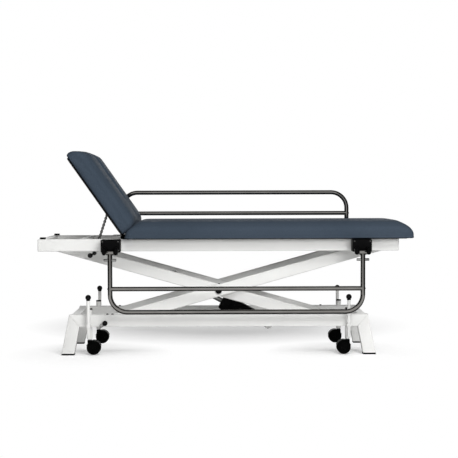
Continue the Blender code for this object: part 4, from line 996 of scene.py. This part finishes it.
def cushion_form(name, length, width, height, start, nose, crown, place):
    """Lofted cushion along local +X: sections of a crowned superellipse between two rounded ends.

    start and nose hold the reach, lift and power of the top's curve and the reach of the tuck below it,
    crown the powers of the section across and up: the smaller, the squarer.
    """
    corner = CUSHION_CORNER
    sides = CUSHION_SIDES
    bm = bmesh.new()
    rings = []
    for station in range(CUSHION_STATIONS + 1):
        along = length * (1 - math.cos(math.pi * station / CUSHION_STATIONS)) / 2
        left = length - along
        top = height * min(end_rise(along, *start[:3]), end_rise(left, *nose[:3]))
        low = height * max(end_tuck(along, start[3], start[1]), end_tuck(left, nose[3], nose[1]))
        gap = min(along, left, corner) / corner
        half = width / 2 - corner * (1 - math.sqrt(1 - (1 - gap) ** 2))
        waist = low + (top - low) * CUSHION_WAIST
        ring = []
        for step in range(sides):
            angle = 2 * math.pi * (step + 0.5) / sides
            across = math.copysign(abs(math.cos(angle)) ** crown[0], math.cos(angle))
            up = abs(math.sin(angle)) ** (crown[1] if math.sin(angle) > 0 else CUSHION_LOWER_POWER)
            reach = top - waist if math.sin(angle) > 0 else low - waist
            ring.append(bm.verts.new(place @ Vector((along, half * across, waist + reach * up))))
        rings.append(ring)
    for low_ring, high_ring in zip(rings, rings[1:]):
        for step in range(sides):
            after = (step + 1) % sides
            bm.faces.new((low_ring[step], low_ring[after], high_ring[after], high_ring[step]))
    bm.faces.new(rings[0])
    bm.faces.new(rings[-1])
    bmesh.ops.remove_doubles(bm, verts=bm.verts, dist=0.00005)
    bmesh.ops.recalc_face_normals(bm, faces=bm.faces)
    return mesh_piece(name, bm, 180)


def apply_modifiers(piece):
    graph = bpy.context.evaluated_depsgraph_get()
    mesh = bpy.data.meshes.new_from_object(piece.evaluated_get(graph))
    piece.modifiers.clear()
    piece.data = mesh


def cut_slot(piece, length, height, place):
    """Cut the face slot through a cushion from its nose end."""
    inner = length - SLOT_LENGTH + SLOT_WIDTH / 2
    radius = SLOT_WIDTH / 2 + CUSHION_INSET
    bm = bmesh.new()
    add_block(bm, (SLOT_LENGTH, 2 * radius, 4 * height), (inner + SLOT_LENGTH / 2, 0, 0), 0.0, place)
    box = mesh_piece("slot_box", bm)
    bm = bmesh.new()
    add_turned(bm, [(0, -2 * height), (radius, -2 * height), (radius, 2 * height), (0, 2 * height)],
               place @ Vector((inner, 0, 0)), place.to_3x3() @ Z_AXIS, 48)
    end = mesh_piece("slot_end", bm)
    for tool in (box, end):
        step = piece.modifiers.new("slot", "BOOLEAN")
        step.operation = "DIFFERENCE"
        step.solver = "EXACT"
        step.object = tool
    apply_modifiers(piece)
    for tool in (box, end):
        bpy.data.objects.remove(tool, do_unlink=True)


def coordinates(mesh):
    return [vert.co.copy() for vert in mesh.vertices]


def swell(piece, place):
    """Remesh a cushion, blow it up as cloth with its underside held, and keep the capped result."""
    remesh = piece.modifiers.new("even_mesh", "REMESH")
    remesh.mode = "VOXEL"
    remesh.voxel_size = CUSHION_VOXEL
    relax = piece.modifiers.new("relaxed", "SMOOTH")
    relax.factor, relax.iterations = CUSHION_RELAX
    apply_modifiers(piece)
    start = coordinates(piece.data)
    back = place.inverted()
    held = piece.vertex_groups.new(name="held")
    under = [index for index, co in enumerate(start) if (back @ co).z < CUSHION_HELD]
    held.add(under, 1.0, "REPLACE")
    cloth = piece.modifiers.new("foam", "CLOTH")
    settings = cloth.settings
    settings.use_pressure = True
    settings.uniform_pressure_force = CLOTH_PRESSURE
    settings.vertex_group_mass = "held"
    settings.effector_weights.gravity = 0.0
    settings.quality = CLOTH_QUALITY
    cloth.collision_settings.use_collision = False
    cloth.point_cache.frame_start = 1
    cloth.point_cache.frame_end = CLOTH_FRAMES
    for step in range(1, CLOTH_FRAMES + 1):
        SCENE.frame_set(step)
    graph = bpy.context.evaluated_depsgraph_get()
    blown = coordinates(piece.evaluated_get(graph).data)
    piece.modifiers.clear()
    SCENE.frame_set(1)
    for vert, first, last in zip(piece.data.vertices, start, blown):
        move = last - first
        if move.length > CUSHION_CAP:
            move *= CUSHION_CAP / move.length
        vert.co = first + move
    smooth = piece.modifiers.new("fine", "SUBSURF")
    smooth.levels = 1
    smooth.render_levels = 1
    shade(piece.data, 180)


def painted_shade_sheet(name, length, width, thickness, place, body, slotted):
    """Dark sheet under a cushion, flush with its underside: painted shade that darkens the cushion's lower
    edge.
    """
    bm = bmesh.new()
    half = width / 2
    turn = Matrix.Rotation(math.pi / 2, 4, "X")
    corner = SHADE_SHEET_CORNER
    outline = []
    for quarter, x, y in ((2, corner, -half + corner), (3, length - corner, -half + corner),
                          (0, length - corner, half - corner), (1, corner, half - corner)):
        if slotted and quarter == 0:
            inner = length - BOARD_SLOT_LENGTH + SLOT_WIDTH / 2
            radius = SLOT_WIDTH / 2
            outline.append((length, -radius))
            for step in range(13):
                angle = -math.pi / 2 - math.pi * step / 12
                outline.append((inner + radius * math.cos(angle), radius * math.sin(angle)))
            outline.append((length, radius))
        for step in range(7):
            angle = math.pi / 2 * (quarter + step / 6)
            outline.append((x + corner * math.cos(angle), y + corner * math.sin(angle)))
    add_slab(bm, outline, 0.0, thickness, SHADE_SHEET_EDGE, place @ turn, segments=2)
    piece = mesh_piece(name, bm)
    dress(piece, DARK_BOARD_AND_SHADE, body, "plywood")


def seat_cushion():
    """Long cushion in place of the plain seat pad, with a dark sheet of painted shade under it."""
    low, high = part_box("seat_pad")
    place = Matrix.Translation((low.x - SEAT_OVERHANG, 0, low.z + SEAT_LIFT))
    length = high.x - low.x + SEAT_EXTRA_LENGTH
    width = high.y - low.y - 2 * CUSHION_INSET
    height = high.z - low.z - CUSHION_INSET - SEAT_LOWER_TOP
    piece = cushion_form("seat_cushion", length, width, height, SEAT_START, SEAT_NOSE, SEAT_CROWN, place)
    swell(piece, place)
    dress(piece, LEATHERETTE, "top_frame", "upholstery", "seat_pad")
    under = Matrix.Translation((low.x + SEAT_SHADE_SHEET_START, 0, low.z + SEAT_SHADE_SHEET_LIFT))
    painted_shade_sheet("seat_painted_shade_sheet", length - SEAT_SHADE_SHEET_SHORTER, width - SEAT_SHADE_SHEET_NARROWER,
                SEAT_SHADE_SHEET_THICKNESS, under, "top_frame", False)


def back_cushion():
    """Leaning cushion with the face slot in place of the plain back pad, with a dark sheet of painted shade
    behind it.
    """
    lean = Matrix.Rotation(BACK_ANGLE, 4, "Y") @ Matrix.Rotation(math.pi, 4, "Z")
    place = Matrix.Translation(pivot("recline")) @ lean
    low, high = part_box("seat_pad")
    width = high.y - low.y - 2 * CUSHION_INSET
    length = BACK_LENGTH
    shade_sheet_thickness = BACK_SHADE_SHEET_THICKNESS
    height = BACK_THICKNESS - CUSHION_INSET - shade_sheet_thickness
    form = place @ Matrix.Translation((BACK_FROM_HINGE + CUSHION_INSET, 0, BACK_LIFT + shade_sheet_thickness))
    piece = cushion_form("back_cushion", length, width, height, BACK_START, BACK_NOSE, BACK_CROWN, form)
    cut_slot(piece, length, height, form)
    swell(piece, form)
    dress(piece, LEATHERETTE, "backrest", "upholstery", "back_pad")
    under = place @ Matrix.Translation((BACK_FROM_HINGE + BACK_SHADE_SHEET_START, 0, BACK_LIFT))
    painted_shade_sheet("back_painted_shade_sheet", length - BACK_SHADE_SHEET_SHORTER, width - BACK_SHADE_SHEET_NARROWER, shade_sheet_thickness, under,
                "backrest", True)


# Nodes that keep their own shape

KEPT_NODES = (
    (POWDER_COAT, ("base_cross_head", "base_cross_foot", "motor_mount", "outer_arm_near", "outer_arm_far",
                   "inner_arm_near", "inner_arm_far", "arm_tie", "frame_rail_near", "frame_rail_far",
                   "frame_cross_head", "frame_cross_foot", "lock_bridge")),
    (BARE_STEEL, ("lower_pivot_shaft", "upper_pivot_shaft", "lower_wheelset", "upper_wheelset",
                  "caster_stem_head_near", "caster_stem_head_far", "caster_stem_foot_near",
                  "caster_stem_foot_far")),
    (BLACK_PLASTIC, ("centre_pin_near", "centre_pin_far", "hinge_shaft", "lock_body")),
    (DARK_BOARD_AND_SHADE, ("seat_board", "back_board")),
)


def finish_kept_nodes():
    for material, names in KEPT_NODES:
        for name in names:
            item = frame["nodes"][name]
            item.data.materials.clear()
            item.data.materials.append(material)


# Studio

def direct_ray(tree):
    """Socket that is 1 for what the eye sees, straight, in a reflection or through glass."""
    path = node(tree, "ShaderNodeLightPath")
    seen = path.outputs["Is Camera Ray"]
    for ray in ("Is Glossy Ray", "Is Transmission Ray"):
        either = node(tree, "ShaderNodeMath", operation="MAXIMUM")
        tree.links.new(seen, either.inputs[0])
        tree.links.new(path.outputs[ray], either.inputs[1])
        seen = either.outputs["Value"]
    return seen


def studio_floor():
    """Pale floor that keeps the shadow near the table and fades to the white backdrop."""
    bm = bmesh.new()
    bmesh.ops.create_circle(bm, cap_ends=True, segments=96, radius=FLOOR_RADIUS)
    floor = mesh_piece("studio_floor", bm)
    floor.location.z = -FLOOR_DROP
    material = bpy.data.materials.new("pale_floor")
    material.use_nodes = True
    tree = material.node_tree
    tree.nodes.clear()
    link = tree.links.new
    place = node(tree, "ShaderNodeTexCoord")
    fade = None
    for centre, scale, start, end in SHADOW_OVALS:
        oval = node(tree, "ShaderNodeMapping")
        oval.inputs["Location"].default_value = (-centre[0] * scale[0], -centre[1] * scale[1], 0)
        oval.inputs["Scale"].default_value = (*scale, 1.0)
        distance = node(tree, "ShaderNodeVectorMath", operation="LENGTH")
        out_of_oval = node(tree, "ShaderNodeMapRange", {"From Min": start, "From Max": end})
        wire(place, "Object", oval, "Vector")
        wire(oval, "Vector", distance, 0)
        wire(distance, "Value", out_of_oval, "Value")
        if fade is None:
            fade = out_of_oval.outputs["Result"]
            continue
        both = node(tree, "ShaderNodeMath", operation="MINIMUM")
        link(fade, both.inputs[0])
        wire(out_of_oval, "Result", both, 1)
        fade = both.outputs["Value"]
    pale = node(tree, "ShaderNodeBsdfDiffuse", {"Color": FLOOR_COLOUR})
    glow = node(tree, "ShaderNodeEmission", {"Color": WHITE, "Strength": 1.0})
    lifted = node(tree, "ShaderNodeEmission", {"Color": WHITE, "Strength": FLOOR_LIFT})
    lit = node(tree, "ShaderNodeAddShader")
    near = node(tree, "ShaderNodeMixShader")
    whole = node(tree, "ShaderNodeMixShader")
    out = node(tree, "ShaderNodeOutputMaterial")
    wire(pale, 0, lit, 0)
    wire(lifted, 0, lit, 1)
    link(fade, near.inputs["Fac"])
    wire(lit, 0, near, 1)
    wire(glow, 0, near, 2)
    link(direct_ray(tree), whole.inputs["Fac"])
    wire(pale, 0, whole, 1)
    wire(near, 0, whole, 2)
    wire(whole, 0, out, "Surface")
    floor.data.materials.append(material)


def studio_world():
    """White backdrop for the eye and for reflections, softer light for everything else."""
    world = bpy.data.worlds.new("studio_white")
    SCENE.world = world
    world.use_nodes = True
    tree = world.node_tree
    tree.nodes.clear()
    fill = node(tree, "ShaderNodeBackground", {"Color": WHITE, "Strength": WORLD_FILL})
    white = node(tree, "ShaderNodeBackground", {"Color": WHITE, "Strength": 1.0})
    mix = node(tree, "ShaderNodeMixShader")
    out = node(tree, "ShaderNodeOutputWorld")
    link = tree.links.new
    link(direct_ray(tree), mix.inputs["Fac"])
    wire(fill, 0, mix, 1)
    wire(white, 0, mix, 2)
    wire(mix, 0, out, "Surface")


def studio_flag(name, size, centre, facing):
    """Dark card that only reflections see, as in a photo studio."""
    bm = bmesh.new()
    bmesh.ops.create_grid(bm, x_segments=1, y_segments=1, size=0.5)
    bmesh.ops.scale(bm, vec=(size[0], size[1], 1), verts=bm.verts)
    card = mesh_piece(name, bm)
    card.matrix_world = axis_frame(Vector(centre), Vector(facing))
    material = bpy.data.materials.new(name)
    material.use_nodes = True
    tree = material.node_tree
    tree.nodes.clear()
    dark = node(tree, "ShaderNodeEmission", {"Color": WHITE, "Strength": CARD_GLOW})
    out = node(tree, "ShaderNodeOutputMaterial")
    tree.links.new(dark.outputs[0], out.inputs["Surface"])
    card.data.materials.append(material)
    card.visible_camera = False
    card.visible_diffuse = False
    card.visible_shadow = False
    card.visible_transmission = False


def studio_lamp(name, place, target, size, energy):
    data = bpy.data.lights.new(name, "AREA")
    data.shape = "RECTANGLE"
    data.size = size[0]
    data.size_y = size[1]
    data.energy = energy
    lamp = bpy.data.objects.new(name, data)
    lamp.location = place
    lamp.rotation_euler = (Vector(target) - Vector(place)).to_track_quat("-Z", "Y").to_euler()
    lamp.visible_glossy = False
    SCENE.collection.objects.link(lamp)


def studio_camera():
    """Camera at the photograph's place: level lines along +Y meet at the vanishing pixel."""
    data = bpy.data.cameras.new("photo_camera")
    data.sensor_width = SENSOR_WIDTH
    data.lens = SENSOR_WIDTH * FOCAL_PIXELS / PHOTO_SIDE
    data.clip_end = 100.0
    camera = bpy.data.objects.new("photo_camera", data)
    middle = PHOTO_SIDE / 2
    yaw = -math.atan((middle - VANISHING_PIXEL[0]) / FOCAL_PIXELS)
    pitch = math.pi / 2 - math.atan((middle - VANISHING_PIXEL[1]) / FOCAL_PIXELS)
    aim = Matrix.Rotation(yaw, 4, "Z") @ Matrix.Rotation(pitch, 4, "X")
    turn = aim @ Matrix.Rotation(CAMERA_ROLL, 4, "Z")
    camera.matrix_world = Matrix.Translation((CENTRE.x, -CAMERA_DISTANCE, CAMERA_HEIGHT)) @ turn
    SCENE.collection.objects.link(camera)
    SCENE.camera = camera


def build_base():
    for label, side in SIDES:
        base_side(label, side)
        rail_bolts(label, side)
    for corner, side in CORNERS:
        sleeve_cap(corner)
        rubber_block("foot_tread_" + corner, "base", "foot_pad_" + corner, RUBBER_EDGE)
        caster_fork(corner)
        caster_wheel(corner)
        caster_lever(corner, side)
    small_lever("brake", "brake_turn", BRAKE_BALL, BRAKE_HUB, "brake", "brake_lever", BARE_STEEL,
                "bare_steel")


def build_lift():
    lift_motor()
    lift_rod()
    pivot_caps()
    arm_plugs()


def build_top():
    rail_plugs()
    for label, side in SIDES:
        rubber_block("rubber_buffer_" + label, "top_frame", "bumper_" + label, BUFFER_EDGE, 4)
        for end, way in ENDS:
            guard_bracket(end + "_" + label, label, side)
    side_guard("near", -1)
    side_guard("far", 1)
    hinge_knuckles()
    lock_strut()
    small_lever("release", "release_pull", RELEASE_BALL, RELEASE_HUB, "release", "release_lever", BLACK_GLOSS,
                "black_plastic")
    seat_cushion()
    back_cushion()


def build_studio():
    SCENE.view_settings.view_transform = "Standard"
    studio_floor()
    studio_world()
    for card in CARDS:
        studio_flag(*card)
    for lamp in LAMPS:
        studio_lamp(*lamp)
    studio_camera()


build_studio()
finish_kept_nodes()
build_base()
build_lift()
build_top()
